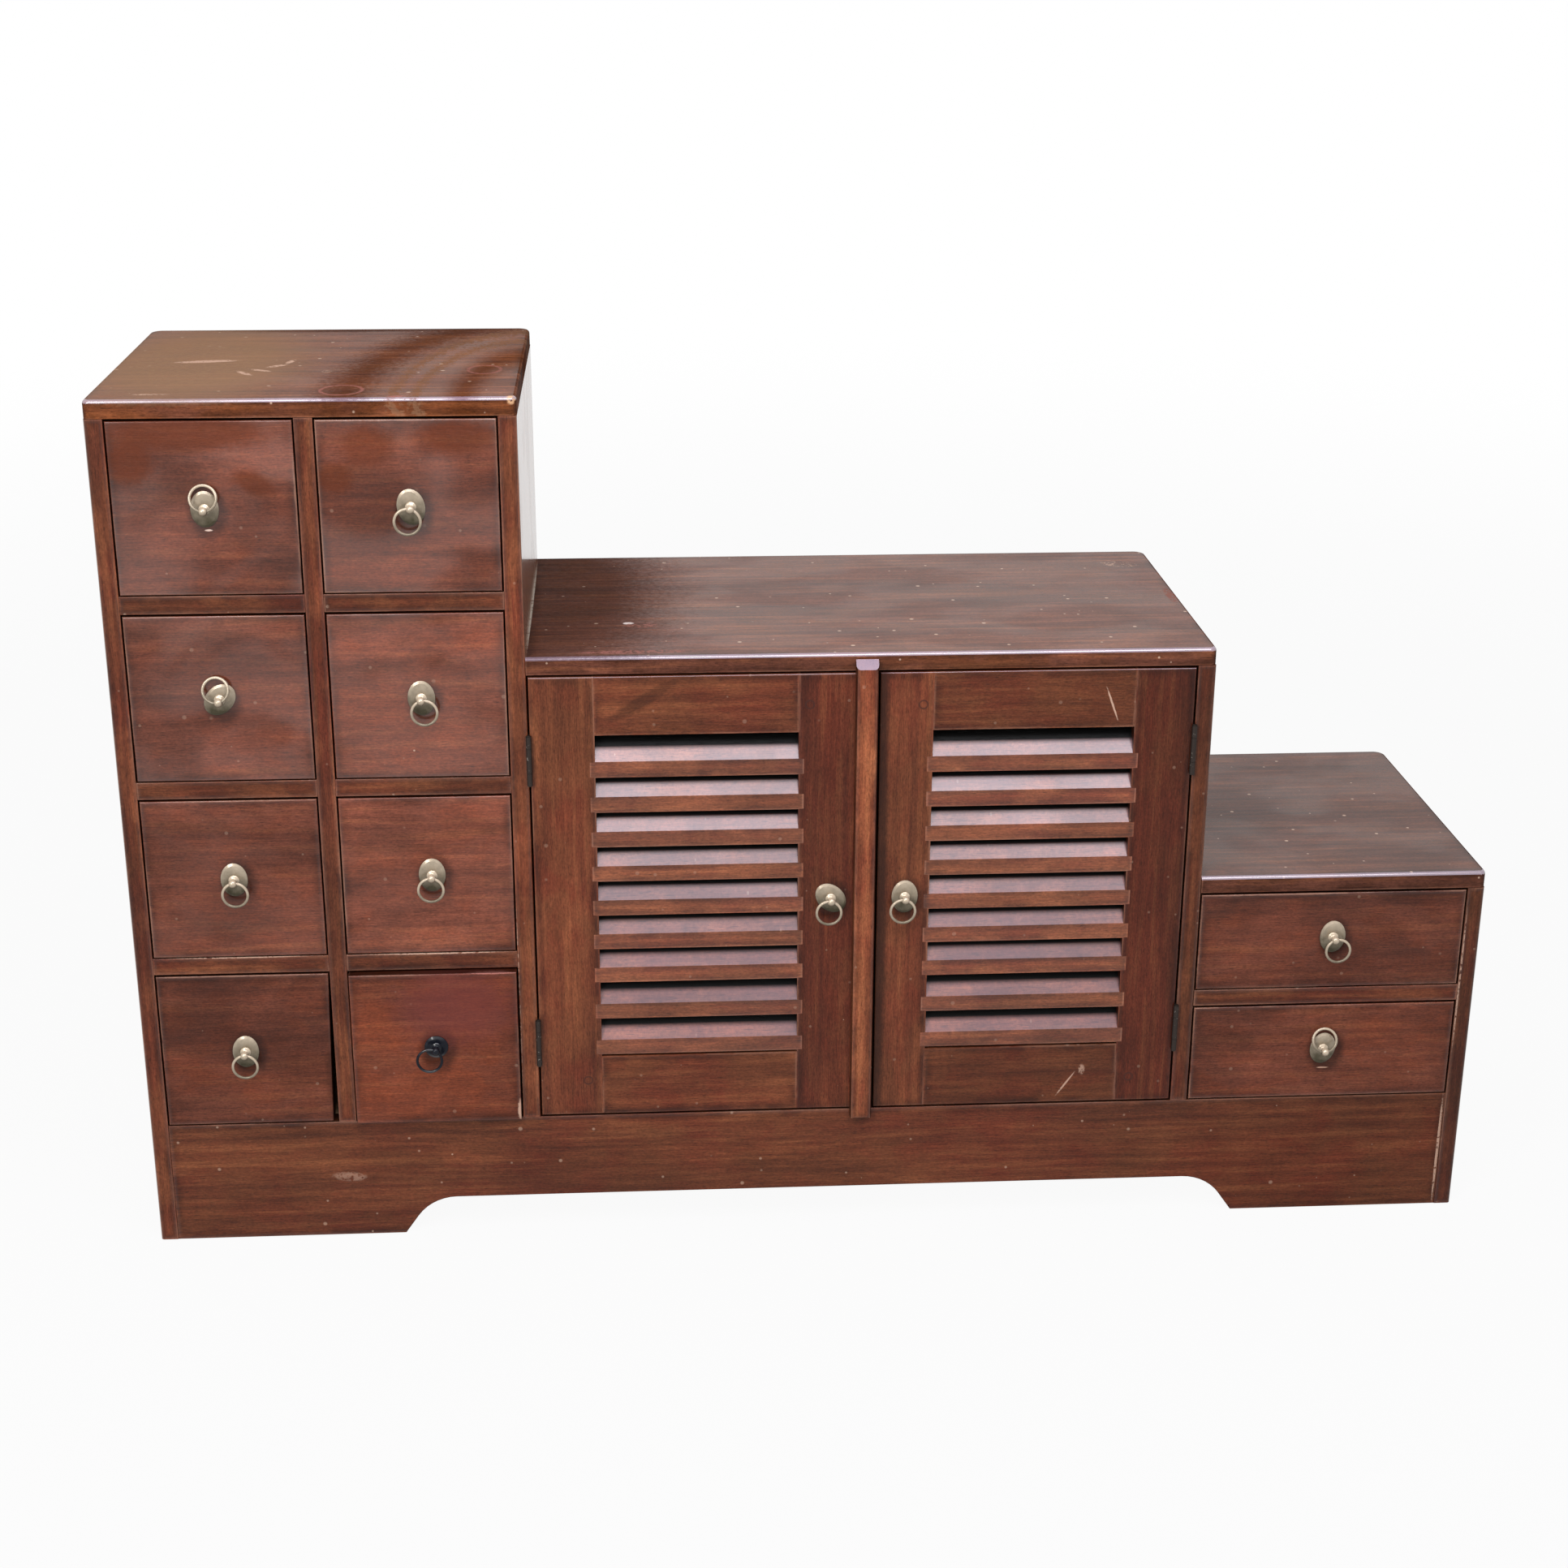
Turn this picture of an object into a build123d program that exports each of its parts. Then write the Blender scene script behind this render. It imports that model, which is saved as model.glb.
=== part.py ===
from build123d import *
import os
from dataclasses import dataclass
from math import cos, radians, sin, tan

# A stepped chest: a tower with two columns of drawers, a cupboard with two louvred doors and a
# low part with two drawers, all in one case. Millimetres, +X to the right, -Y to the front and
# +Z up, with the origin on the floor under the middle of the chest's box.

# ---- Case -------------------------------------------------------------------------------------
WIDTH = 1300.0
DEPTH = 350.0
BOARD = 17.0                 # thickness of the case's boards
TOWER_HEIGHT = 838.0
MIDDLE_HEIGHT = 597.0
LOW_HEIGHT = 366.0
TOWER_WIDTH = 378.0          # to the outer face of the tower's right panel
MIDDLE_WIDTH = 642.0         # from there to the outer face of the next panel
LEFT_COLUMN_WIDTH = 165.0    # clear width of the tower's left column
PLINTH_HEIGHT = 126.0
TOWER_ROWS = 4
LOW_ROWS = 2

TOP_ROUND = 3.5              # upper edges of the step tops
TOP_UNDER_EASE = 0.8         # lower edges of the step tops
FRONT_CORNER_ROUND = 6.0     # free front corners of the step tops, in plan
BACK_CORNER_ROUND = 12.0     # free back corners of the step tops, in plan
OUTER_ROUND = 3.5            # outermost front edges of the side panels
UPRIGHT_ROUND = 2.0          # right front edges of the two inner panels
BOARD_EASE = 0.8             # every other front edge

ARCH_HEIGHT = 39.0
ARCH_LEFT_FOOT = 224.0       # foot of the plinth board, left of the arch
ARCH_RIGHT_FOOT = 211.0
ARCH_ANGLE = 55.0            # slope of the arch's straight ends, in degrees
ARCH_RADIUS = 47.0

BACK_SHEET = 4.0
BACK_LAP = 8.0               # how far the back panel laps onto the boards' backs

RAIL_DEPTH = 60.0
RUNNER_WIDTH = 15.0

# ---- Drawers ----------------------------------------------------------------------------------
FRONT_THICKNESS = 17.0
FRONT_SIDE_GAP = 1.2
FRONT_TOP_GAP = 2.0
FRONT_BOTTOM_GAP = 0.8
FRONT_EASE = 1.5
DRAWER_LENGTH = 330.0        # from the front's face to the end of the box
BOX_SIDE = 10.0
BOX_SIDE_GAP = 2.0           # between the box and the case, on each side
BOX_TOP_DROP = 14.0          # box's upper edge below the opening's upper edge
DRAWER_SHEET = 4.0
SHEET_RISE = 8.0             # bottom sheet above the lower edge of the sides
GROOVE = 5.0
RUN_GAP = 0.3                # between a moving piece and what it runs on or laps
CROOKED_TAPER = 4.0          # the crooked front is this much narrower at its lower edge
PROUD_STANCE = 7.0           # how far the drawer that is not pushed home stands out

# ---- Pulls ------------------------------------------------------------------------------------
PLATE_WIDTH = 25.0
PLATE_HEIGHT = 33.0
ROUND_PLATE_WIDTH = 22.5
PLATE_RIM = 0.9              # thickness at the plate's rim
PLATE_BEVEL = 2.2            # width of the bevel inside the rim
PLATE_THICKNESS = 2.0
STEM_REACH = 10.5            # centre of the ball, out from the face
BALL_RADIUS = 4.0
NECK_RADIUS = 2.4
COLLAR_RADIUS = 5.0
COLLAR_RIM = 0.9
COLLAR_DOME = 1.8
SHANK_RADIUS = 2.0
SHANK_PLAY = 0.2             # between the shank and its hole in the wood
NUT_RADIUS = 4.0
NUT_THICKNESS = 3.0
THREAD_PLAY = 0.05
RING_RADIUS = 11.7           # to the middle of the wire
WIRE_RADIUS = 1.3
RING_PLAY = 0.2              # in the ball's hole, beyond the ring's own curve
RING_LEAN = 20.0             # a turned-up ring leans this far back, in degrees

# ---- Doors ------------------------------------------------------------------------------------
DOOR_THICKNESS = 17.0
LEFT_DOOR_WIDTH = 323.5
HINGE_GAP = 1.5              # between a door and the panel that carries it
MEETING_GAP = 2.0
DOOR_TOP_GAP = 2.0
DOOR_BOTTOM_GAP = 1.5
DOOR_EASE = 1.5
LEFT_OUTER_STILE = 60.0
RIGHT_OUTER_STILE = 56.0
LOUVRE_WIDTH = 190.0         # between a door's stiles
TOP_RAIL = 57.0
BOTTOM_RAIL = 62.5
SLAT_COUNT = 9
SLAT_BAND = 17.7             # height of a slat's upright front face
SLAT_PITCH = 35.0
LOWER_SLAT_PITCH = 38.5      # the lowest slats stand a little further apart
LOWER_SLATS = 2
SLAT_SLOPE = 57.0            # degrees; the top slat just clears the top rail at the back
SLAT_HOUSING = 5.0           # how far a slat is let into each stile
SLAT_EASE = 0.8
DOOR_PULL_HEIGHT = 353.0     # of the pulls' centres above the floor
LEFT_PULL_INSET = 42.0       # from the left door's meeting edge
RIGHT_PULL_INSET = 27.0

STRIP_WIDTH = 21.0
STRIP_THICKNESS = 9.0
STRIP_TOP_LAP = 11.5
STRIP_BOTTOM_LAP = 7.0
STRIP_ROUND = 4.0
STRIP_TOP_SLOPE = 8.0        # height and depth of the sloped cut at the upper end
STRIP_FOOT_BEVEL = 1.5

# ---- Hinges -----------------------------------------------------------------------------------
HINGE_LENGTH = 48.0
HINGE_INSET = 80.0           # from a door's end to the hinge's middle
KNUCKLE_RADIUS = 2.6
KNUCKLE_GAP = 0.3
PIN_RADIUS = 1.1
PIN_CLEARANCE = 0.05
PIN_HEAD_RADIUS = 1.9
PIN_HEAD = 1.0
PIN_REACH = 3.0              # pin's axis, out from the case's front
LEAF_THICKNESS = 1.2
LEAF_WIDTH = 14.0
LEAF_GAP = 0.1               # between the pin's plane and each leaf
SCREW_RADIUS = 1.2
SCREW_HEAD_RADIUS = 2.4
SCREW_LENGTH = 12.0
SCREW_SPACING = 30.0
SCREW_INSET = 8.0            # screw's axis, in from the leaf's front edge

# ---- Places worked out from the sizes ---------------------------------------------------------
REACH = PROUD_STANCE + STEM_REACH + BALL_RADIUS
front_y = (REACH - DEPTH) / 2
back_y = front_y + DEPTH
sheet_y = back_y - BACK_SHEET
door_y = front_y - RUN_GAP

left_x = -WIDTH / 2
right_x = WIDTH / 2
divider_x = left_x + BOARD + LEFT_COLUMN_WIDTH
tower_x = left_x + TOWER_WIDTH
middle_x = tower_x + MIDDLE_WIDTH

pin_y = front_y - PIN_REACH
leaf_y = pin_y + KNUCKLE_RADIUS + RUN_GAP
door_bottom = PLINTH_HEIGHT + DOOR_BOTTOM_GAP
door_top = MIDDLE_HEIGHT - BOARD - DOOR_TOP_GAP
hinge_heights = (door_bottom + HINGE_INSET, door_top - HINGE_INSET)
left_pin_x = tower_x + HINGE_GAP / 2
right_pin_x = middle_x - BOARD - HINGE_GAP / 2
left_door_left = tower_x + HINGE_GAP
left_door_right = left_door_left + LEFT_DOOR_WIDTH
right_door_left = left_door_right + MEETING_GAP
right_door_right = middle_x - BOARD - HINGE_GAP

ring_sag = BALL_RADIUS**2 / (2 * RING_RADIUS)
ring_hole_radius = WIRE_RADIUS + ring_sag + RING_PLAY

OUTWARD = Vector(0, -1, 0)


# ---- Descriptions of what repeats -------------------------------------------------------------
@dataclass
class Pull:
    """How one pull sits: turns are clockwise from the front, right and up are from the middle."""

    plate_turn: float = 0.0
    ring_turn: float = 0.0
    right: float = 0.0
    up: float = 0.0
    ring_up: bool = False
    round_plate: bool = False


@dataclass
class Opening:
    """One drawer's clear opening in the case, with the drawer's own quirks."""

    name: str
    left: float
    right: float
    bottom: float
    top: float
    pull: Pull
    proud: float = 0.0
    taper: float = 0.0

    @property
    def face_y(self):
        return front_y - self.proud

    @property
    def pull_x(self):
        return (self.left + self.right) / 2 + self.pull.right

    @property
    def pull_z(self):
        middle = (self.bottom + FRONT_BOTTOM_GAP + self.top - FRONT_TOP_GAP) / 2
        return middle + self.pull.up


def row_height(top, rows):
    """Clear height of one drawer opening under a step top."""
    clear = top - BOARD - PLINTH_HEIGHT
    return (clear - (rows - 1) * BOARD) / rows


def row_bottom(top, rows, row):
    """Lower edge of an opening, with row 0 at the top."""
    return PLINTH_HEIGHT + (rows - 1 - row) * (row_height(top, rows) + BOARD)


tower_pulls = (
    Pull(ring_up=True),
    Pull(plate_turn=-10, ring_turn=15, right=1.3),
    Pull(plate_turn=43, ring_turn=-13, ring_up=True),
    Pull(plate_turn=-2, ring_turn=-14, right=2.2, up=-1.5),
    Pull(ring_turn=-7),
    Pull(ring_turn=5, right=4.0, up=1.0),
    Pull(plate_turn=3, right=-2.0, up=-1.0),
    Pull(ring_turn=32, right=0.5, up=2.5, round_plate=True),
)
low_pulls = (
    Pull(plate_turn=2, ring_turn=-18, right=1.5, up=4.0),
    Pull(plate_turn=8, ring_turn=-1, right=1.3, up=3.3, ring_up=True),
)
left_door_pull = Pull(plate_turn=-45, ring_turn=11)
right_door_pull = Pull(plate_turn=1, ring_turn=12)

tower_columns = ((left_x + BOARD, divider_x), (divider_x + BOARD, tower_x - BOARD))
low_column = (middle_x, right_x - BOARD)

drawers = []
for index, pull in enumerate(tower_pulls):
    row, column = divmod(index, 2)
    bottom = row_bottom(TOWER_HEIGHT, TOWER_ROWS, row)
    drawers.append(
        Opening(
            name=f"tower_drawer_{index + 1}",
            left=tower_columns[column][0],
            right=tower_columns[column][1],
            bottom=bottom,
            top=bottom + row_height(TOWER_HEIGHT, TOWER_ROWS),
            pull=pull,
        )
    )
for row, pull in enumerate(low_pulls):
    bottom = row_bottom(LOW_HEIGHT, LOW_ROWS, row)
    drawers.append(
        Opening(
            name=f"low_drawer_{row + 1}",
            left=low_column[0],
            right=low_column[1],
            bottom=bottom,
            top=bottom + row_height(LOW_HEIGHT, LOW_ROWS),
            pull=pull,
        )
    )
crooked_drawer = drawers[6]
crooked_drawer.taper = CROOKED_TAPER
proud_drawer = drawers[7]
proud_drawer.proud = PROUD_STANCE


# ---- Helpers ----------------------------------------------------------------------------------
def block(low, high, mode=Mode.ADD):
    """Add a rectangular block between two opposite corners to the current part."""
    size = [end - start for start, end in zip(low, high)]
    with Locations(Vector(*low)):
        Box(*size, align=(Align.MIN, Align.MIN, Align.MIN), mode=mode)


def front_plane(y):
    """Upright plane across the chest whose normal points to the front."""
    return Plane(origin=(0, y, 0), x_dir=(1, 0, 0), z_dir=OUTWARD)


def write_piece(piece, name):
    """Label a finished piece and write it under its node's name."""
    piece.label = name
    export_step(piece, f"parts/{name}.step")


def group(pieces):
    """Keep touching pieces as separate solids of one node."""
    return Compound([solid for piece in pieces for solid in piece.solids()])


os.makedirs("parts", exist_ok=True)

# ---- Back panel -------------------------------------------------------------------------------
lap_inset = BOARD - BACK_LAP
back_outline = (
    (left_x + lap_inset, PLINTH_HEIGHT - BOARD),
    (right_x - lap_inset, PLINTH_HEIGHT - BOARD),
    (right_x - lap_inset, LOW_HEIGHT - lap_inset),
    (middle_x - lap_inset, LOW_HEIGHT - lap_inset),
    (middle_x - lap_inset, MIDDLE_HEIGHT - lap_inset),
    (tower_x - lap_inset, MIDDLE_HEIGHT - lap_inset),
    (tower_x - lap_inset, TOWER_HEIGHT - lap_inset),
    (left_x + lap_inset, TOWER_HEIGHT - lap_inset),
)
with BuildPart() as back_panel:
    with BuildSketch(front_plane(back_y)):
        with BuildLine():
            Polyline(*back_outline, close=True)
        make_face()
    extrude(amount=BACK_SHEET)
write_piece(back_panel.part, "back_panel")


# ---- Hinges -----------------------------------------------------------------------------------
def hinge_screw(x, z, side):
    """A countersunk screw that goes into the wood on the given side of the pin."""
    seat = (x + side * LEAF_GAP, leaf_y + SCREW_INSET, z)
    with BuildPart() as screw:
        with Locations(Plane(origin=seat, z_dir=(side, 0, 0))):
            Cone(
                SCREW_HEAD_RADIUS,
                SCREW_RADIUS,
                LEAF_THICKNESS,
                align=(Align.CENTER, Align.CENTER, Align.MIN),
            )
            Cylinder(SCREW_RADIUS, SCREW_LENGTH, align=(Align.CENTER, Align.CENTER, Align.MIN))
    return screw.part


def hinge_leaf(x, z, side, spans, screws):
    """One leaf with its knuckles: spans are the knuckles' ends, measured from the middle."""
    inner = x + side * LEAF_GAP
    outer = inner + side * LEAF_THICKNESS
    x_low, x_high = sorted((inner, outer))
    with BuildPart() as leaf:
        block(
            (x_low, leaf_y, z - HINGE_LENGTH / 2),
            (x_high, leaf_y + LEAF_WIDTH, z + HINGE_LENGTH / 2),
        )
        for low, high in spans:
            block((x_low, pin_y, z + low), (x_high, leaf_y, z + high))
            with Locations((x, pin_y, z + (low + high) / 2)):
                Cylinder(KNUCKLE_RADIUS, high - low)
        with Locations((x, pin_y, z)):
            Cylinder(PIN_RADIUS + PIN_CLEARANCE, HINGE_LENGTH, mode=Mode.SUBTRACT)
        for screw in screws:
            add(screw, mode=Mode.SUBTRACT)
    return leaf.part


def hinge_pin(x, z):
    """The pin, with a small head at each end of the knuckles."""
    with BuildPart() as pin:
        with Locations((x, pin_y, z)):
            Cylinder(PIN_RADIUS, HINGE_LENGTH)
        with Locations(
            (x, pin_y, z + (HINGE_LENGTH + PIN_HEAD) / 2),
            (x, pin_y, z - (HINGE_LENGTH + PIN_HEAD) / 2),
        ):
            Cylinder(PIN_HEAD_RADIUS, PIN_HEAD)
    return pin.part


half_length = HINGE_LENGTH / 2
quarter_length = HINGE_LENGTH / 4
middle_span = ((KNUCKLE_GAP / 2 - quarter_length, quarter_length - KNUCKLE_GAP / 2),)
end_spans = (
    (-half_length, -quarter_length - KNUCKLE_GAP / 2),
    (quarter_length + KNUCKLE_GAP / 2, half_length),
)


def hinge_side(x, side, spans):
    """Leaves and screws of a door's two hinges, on one side of the pins."""
    pieces = []
    for z in hinge_heights:
        offsets = (-SCREW_SPACING / 2, SCREW_SPACING / 2)
        screws = [hinge_screw(x, z + offset, side) for offset in offsets]
        pieces.append(hinge_leaf(x, z, side, spans, screws))
        pieces.extend(screws)
    return pieces


left_case_hinges = hinge_side(left_pin_x, -1, end_spans)
right_case_hinges = hinge_side(right_pin_x, 1, end_spans)
left_door_hinges = hinge_side(left_pin_x, 1, middle_span)
right_door_hinges = hinge_side(right_pin_x, -1, middle_span)
pins = [hinge_pin(x, z) for x in (left_pin_x, right_pin_x) for z in hinge_heights]

write_piece(group(left_case_hinges + right_case_hinges + pins), "hinge_case_leaves")
write_piece(group(left_door_hinges), "left_door_hinge_leaves")
write_piece(group(right_door_hinges), "right_door_hinge_leaves")


# ---- Uprights ---------------------------------------------------------------------------------
def upright(left, bottom, top, left_round, right_round, fittings=()):
    """A panel from front to back, rebated for the back panel and let in for its fittings."""
    with BuildPart() as panel:
        block((left, front_y, bottom), (left + BOARD, back_y, top))
        for end, radius in ((0, left_round), (-1, right_round)):
            front_edges = panel.edges().filter_by(Axis.Z).group_by(Axis.Y)[0]
            fillet(front_edges.sort_by(Axis.X)[end], radius)
        add(back_panel.part, mode=Mode.SUBTRACT)
        for fitting in fittings:
            add(fitting, mode=Mode.SUBTRACT)
    return panel.part


tower_under = TOWER_HEIGHT - BOARD
middle_under = MIDDLE_HEIGHT - BOARD
low_under = LOW_HEIGHT - BOARD

left_side_panel = upright(left_x, 0, tower_under, OUTER_ROUND, BOARD_EASE)
tower_divider = upright(divider_x, PLINTH_HEIGHT, tower_under, BOARD_EASE, BOARD_EASE)
tower_right_panel = upright(
    tower_x - BOARD, PLINTH_HEIGHT, tower_under, BOARD_EASE, UPRIGHT_ROUND, left_case_hinges
)
middle_right_panel = upright(
    middle_x - BOARD, PLINTH_HEIGHT, middle_under, BOARD_EASE, UPRIGHT_ROUND, right_case_hinges
)
right_side_panel = upright(right_x - BOARD, 0, low_under, BOARD_EASE, OUTER_ROUND)

write_piece(left_side_panel, "left_side_panel")
write_piece(tower_divider, "tower_divider")
write_piece(tower_right_panel, "tower_right_panel")
write_piece(middle_right_panel, "middle_right_panel")
write_piece(right_side_panel, "right_side_panel")


# ---- Step tops --------------------------------------------------------------------------------
def step_top(left, right, top, free_ends):
    """A top board, rounded along its upper edges and at its free ends."""
    with BuildPart() as tread:
        with BuildSketch(Plane.XY.offset(top - BOARD)):
            with Locations(((left + right) / 2, (front_y + back_y) / 2)):
                Rectangle(right - left, DEPTH)
            for end in free_ends:
                back_corner = vertices().group_by(Axis.X)[end].sort_by(Axis.Y)[-1]
                fillet(back_corner, BACK_CORNER_ROUND)
                front_corner = vertices().group_by(Axis.X)[end].sort_by(Axis.Y)[0]
                fillet(front_corner, FRONT_CORNER_ROUND)
        extrude(amount=BOARD)
        upper_front = tread.faces().sort_by(Axis.Z)[-1].edges().sort_by(Axis.Y)[0]
        fillet(upper_front, TOP_ROUND)
        lower_front = tread.faces().sort_by(Axis.Z)[0].edges().sort_by(Axis.Y)[0]
        fillet(lower_front, TOP_UNDER_EASE)
        add(back_panel.part, mode=Mode.SUBTRACT)
    return tread.part


step_tops = group(
    [
        step_top(left_x, tower_x, TOWER_HEIGHT, free_ends=(0, -1)),
        step_top(tower_x, middle_x, MIDDLE_HEIGHT, free_ends=(-1,)),
        step_top(middle_x, right_x, LOW_HEIGHT, free_ends=(-1,)),
    ]
)
write_piece(step_tops, "step_tops")

# ---- Plinth and bottom ------------------------------------------------------------------------
arch_rise = ARCH_RADIUS * (1 - cos(radians(ARCH_ANGLE)))
slope_rise = ARCH_HEIGHT - arch_rise
slope_run = slope_rise / tan(radians(ARCH_ANGLE))
arch_left = left_x + BOARD + ARCH_LEFT_FOOT
arch_right = right_x - BOARD - ARCH_RIGHT_FOOT
with BuildPart() as plinth_board:
    with BuildSketch(front_plane(front_y)):
        with BuildLine():
            left_slope = Line((arch_left, 0), (arch_left + slope_run, slope_rise))
            left_bend = JernArc(left_slope @ 1, left_slope % 1, ARCH_RADIUS, -ARCH_ANGLE)
            right_slope = Line((arch_right, 0), (arch_right - slope_run, slope_rise))
            right_bend = JernArc(right_slope @ 1, right_slope % 1, ARCH_RADIUS, ARCH_ANGLE)
            Line(left_bend @ 1, right_bend @ 1)
            Polyline(
                (arch_left, 0),
                (left_x + BOARD, 0),
                (left_x + BOARD, PLINTH_HEIGHT),
                (right_x - BOARD, PLINTH_HEIGHT),
                (right_x - BOARD, 0),
                (arch_right, 0),
            )
        make_face()
    extrude(amount=-BOARD)
    fillet(plinth_board.faces().sort_by(Axis.Y)[0].edges(), BOARD_EASE)
write_piece(plinth_board.part, "plinth_board")

with BuildPart() as bottom_board:
    block(
        (left_x + BOARD, front_y + BOARD, PLINTH_HEIGHT - BOARD),
        (right_x - BOARD, sheet_y, PLINTH_HEIGHT),
    )
write_piece(bottom_board.part, "bottom_board")


# ---- Rails and runners ------------------------------------------------------------------------
def rail_with_runners(column, top):
    """A front rail between two uprights and the two runners behind it."""
    left, right = column
    rail_back = front_y + RAIL_DEPTH
    with BuildPart() as rail:
        block((left, front_y, top - BOARD), (right, rail_back, top))
        front_face = rail.faces().sort_by(Axis.Y)[0]
        fillet(front_face.edges().filter_by(Axis.X), BOARD_EASE)
    with BuildPart() as left_runner:
        block((left, rail_back, top - BOARD), (left + RUNNER_WIDTH, sheet_y, top))
    with BuildPart() as right_runner:
        block((right - RUNNER_WIDTH, rail_back, top - BOARD), (right, sheet_y, top))
    return [rail.part, left_runner.part, right_runner.part]


rail_pieces = []
for row in range(TOWER_ROWS - 1):
    rail_top = row_bottom(TOWER_HEIGHT, TOWER_ROWS, row)
    for column in tower_columns:
        rail_pieces.extend(rail_with_runners(column, rail_top))
for row in range(LOW_ROWS - 1):
    rail_top = row_bottom(LOW_HEIGHT, LOW_ROWS, row)
    rail_pieces.extend(rail_with_runners(low_column, rail_top))
write_piece(group(rail_pieces), "drawer_rails")


# ---- Pulls ------------------------------------------------------------------------------------
def turned(angle):
    """The rightward and downward directions of a pull turned clockwise from the front."""
    right = Vector(cos(radians(angle)), 0, -sin(radians(angle)))
    down = Vector(-sin(radians(angle)), 0, -cos(radians(angle)))
    return right, down


def pull_plate(centre, pull):
    """The thin plate with a bevelled rim, flat on the wood."""
    right, _ = turned(pull.plate_turn)
    half_width = (ROUND_PLATE_WIDTH if pull.round_plate else PLATE_WIDTH) / 2
    half_height = (ROUND_PLATE_WIDTH if pull.round_plate else PLATE_HEIGHT) / 2
    face = Plane(origin=centre, x_dir=right, z_dir=OUTWARD)
    with BuildPart() as plate:
        with BuildSketch(face):
            Ellipse(half_width, half_height)
        extrude(amount=PLATE_RIM)
        with BuildSketch(face.offset(PLATE_RIM)):
            Ellipse(half_width, half_height)
        with BuildSketch(face.offset(PLATE_THICKNESS)):
            Ellipse(half_width - PLATE_BEVEL, half_height - PLATE_BEVEL)
        loft()
        with BuildSketch(face):
            Circle(SHANK_RADIUS)
        extrude(amount=PLATE_THICKNESS, mode=Mode.SUBTRACT)
    return plate.part


def pull_stem(centre, pull, wood):
    """The turned stem: shank, domed collar, neck and a ball with the ring's hole."""
    right, down = turned(pull.ring_turn)
    shank_end = -wood - NUT_THICKNESS
    collar_top = PLATE_THICKNESS + COLLAR_RIM + COLLAR_DOME
    neck_top = STEM_REACH - (BALL_RADIUS**2 - NECK_RADIUS**2) ** 0.5
    pivot = centre + OUTWARD * STEM_REACH
    with BuildPart() as stem:
        with BuildSketch(Plane(origin=centre, x_dir=right, z_dir=down)):
            with BuildLine():
                Polyline(
                    (0, STEM_REACH + BALL_RADIUS),
                    (0, shank_end),
                    (SHANK_RADIUS, shank_end),
                    (SHANK_RADIUS, PLATE_THICKNESS),
                    (COLLAR_RADIUS, PLATE_THICKNESS),
                    (COLLAR_RADIUS, PLATE_THICKNESS + COLLAR_RIM),
                )
                Spline(
                    (COLLAR_RADIUS, PLATE_THICKNESS + COLLAR_RIM),
                    (NECK_RADIUS, collar_top),
                    (NECK_RADIUS, neck_top),
                    tangents=((-1, 1), (0.5, 1)),
                )
                ThreePointArc(
                    (NECK_RADIUS, neck_top),
                    (BALL_RADIUS, STEM_REACH),
                    (0, STEM_REACH + BALL_RADIUS),
                )
            make_face()
        revolve(axis=Axis(centre, OUTWARD))
        with BuildSketch(Plane(origin=pivot, z_dir=right)):
            Circle(ring_hole_radius)
        extrude(amount=BALL_RADIUS, both=True, mode=Mode.SUBTRACT)
    return stem.part


def pull_nut(centre, wood):
    """The hexagon nut on the shank, behind the wood."""
    seat = Plane(origin=centre, x_dir=(1, 0, 0), z_dir=OUTWARD).offset(-wood)
    with BuildPart() as nut:
        with BuildSketch(seat):
            RegularPolygon(NUT_RADIUS, 6)
            Circle(SHANK_RADIUS + THREAD_PLAY, mode=Mode.SUBTRACT)
        extrude(amount=-NUT_THICKNESS)
    return nut.part


def pull_ring(centre, pull):
    """The wire ring that hangs from the ball or is turned up against the wood."""
    right, down = turned(pull.ring_turn)
    pivot = centre + OUTWARD * STEM_REACH
    lean = radians(RING_LEAN)
    direction = -down * cos(lean) - OUTWARD * sin(lean) if pull.ring_up else down
    ring_centre = pivot + direction * RING_RADIUS
    with BuildPart() as ring:
        with Locations(Plane(origin=ring_centre, x_dir=right, z_dir=right.cross(direction))):
            Torus(RING_RADIUS, WIRE_RADIUS)
    return ring.part


def write_pull(name, centre, pull, wood):
    """Write one pull and its ring."""
    pieces = [pull_plate(centre, pull), pull_stem(centre, pull, wood), pull_nut(centre, wood)]
    write_piece(group(pieces), f"{name}_pull")
    write_piece(pull_ring(centre, pull), f"{name}_ring")


def pull_hole(centre, wood):
    """Cut the shank's hole through the wood of the current part."""
    with Locations(Plane(origin=centre, z_dir=OUTWARD)):
        Cylinder(
            SHANK_RADIUS + SHANK_PLAY,
            wood,
            align=(Align.CENTER, Align.CENTER, Align.MAX),
            mode=Mode.SUBTRACT,
        )


# ---- Drawers ----------------------------------------------------------------------------------
def drawer_sheet(opening):
    """The thin bottom, let into the front and the sides."""
    front_back = opening.face_y + FRONT_THICKNESS
    side_inset = BOX_SIDE_GAP + BOX_SIDE - GROOVE
    sheet_bottom = opening.bottom + RUN_GAP + SHEET_RISE
    with BuildPart() as sheet:
        block(
            (opening.left + side_inset, front_back - GROOVE, sheet_bottom),
            (
                opening.right - side_inset - opening.taper,
                opening.face_y + DRAWER_LENGTH,
                sheet_bottom + DRAWER_SHEET,
            ),
        )
    return sheet.part


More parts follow.
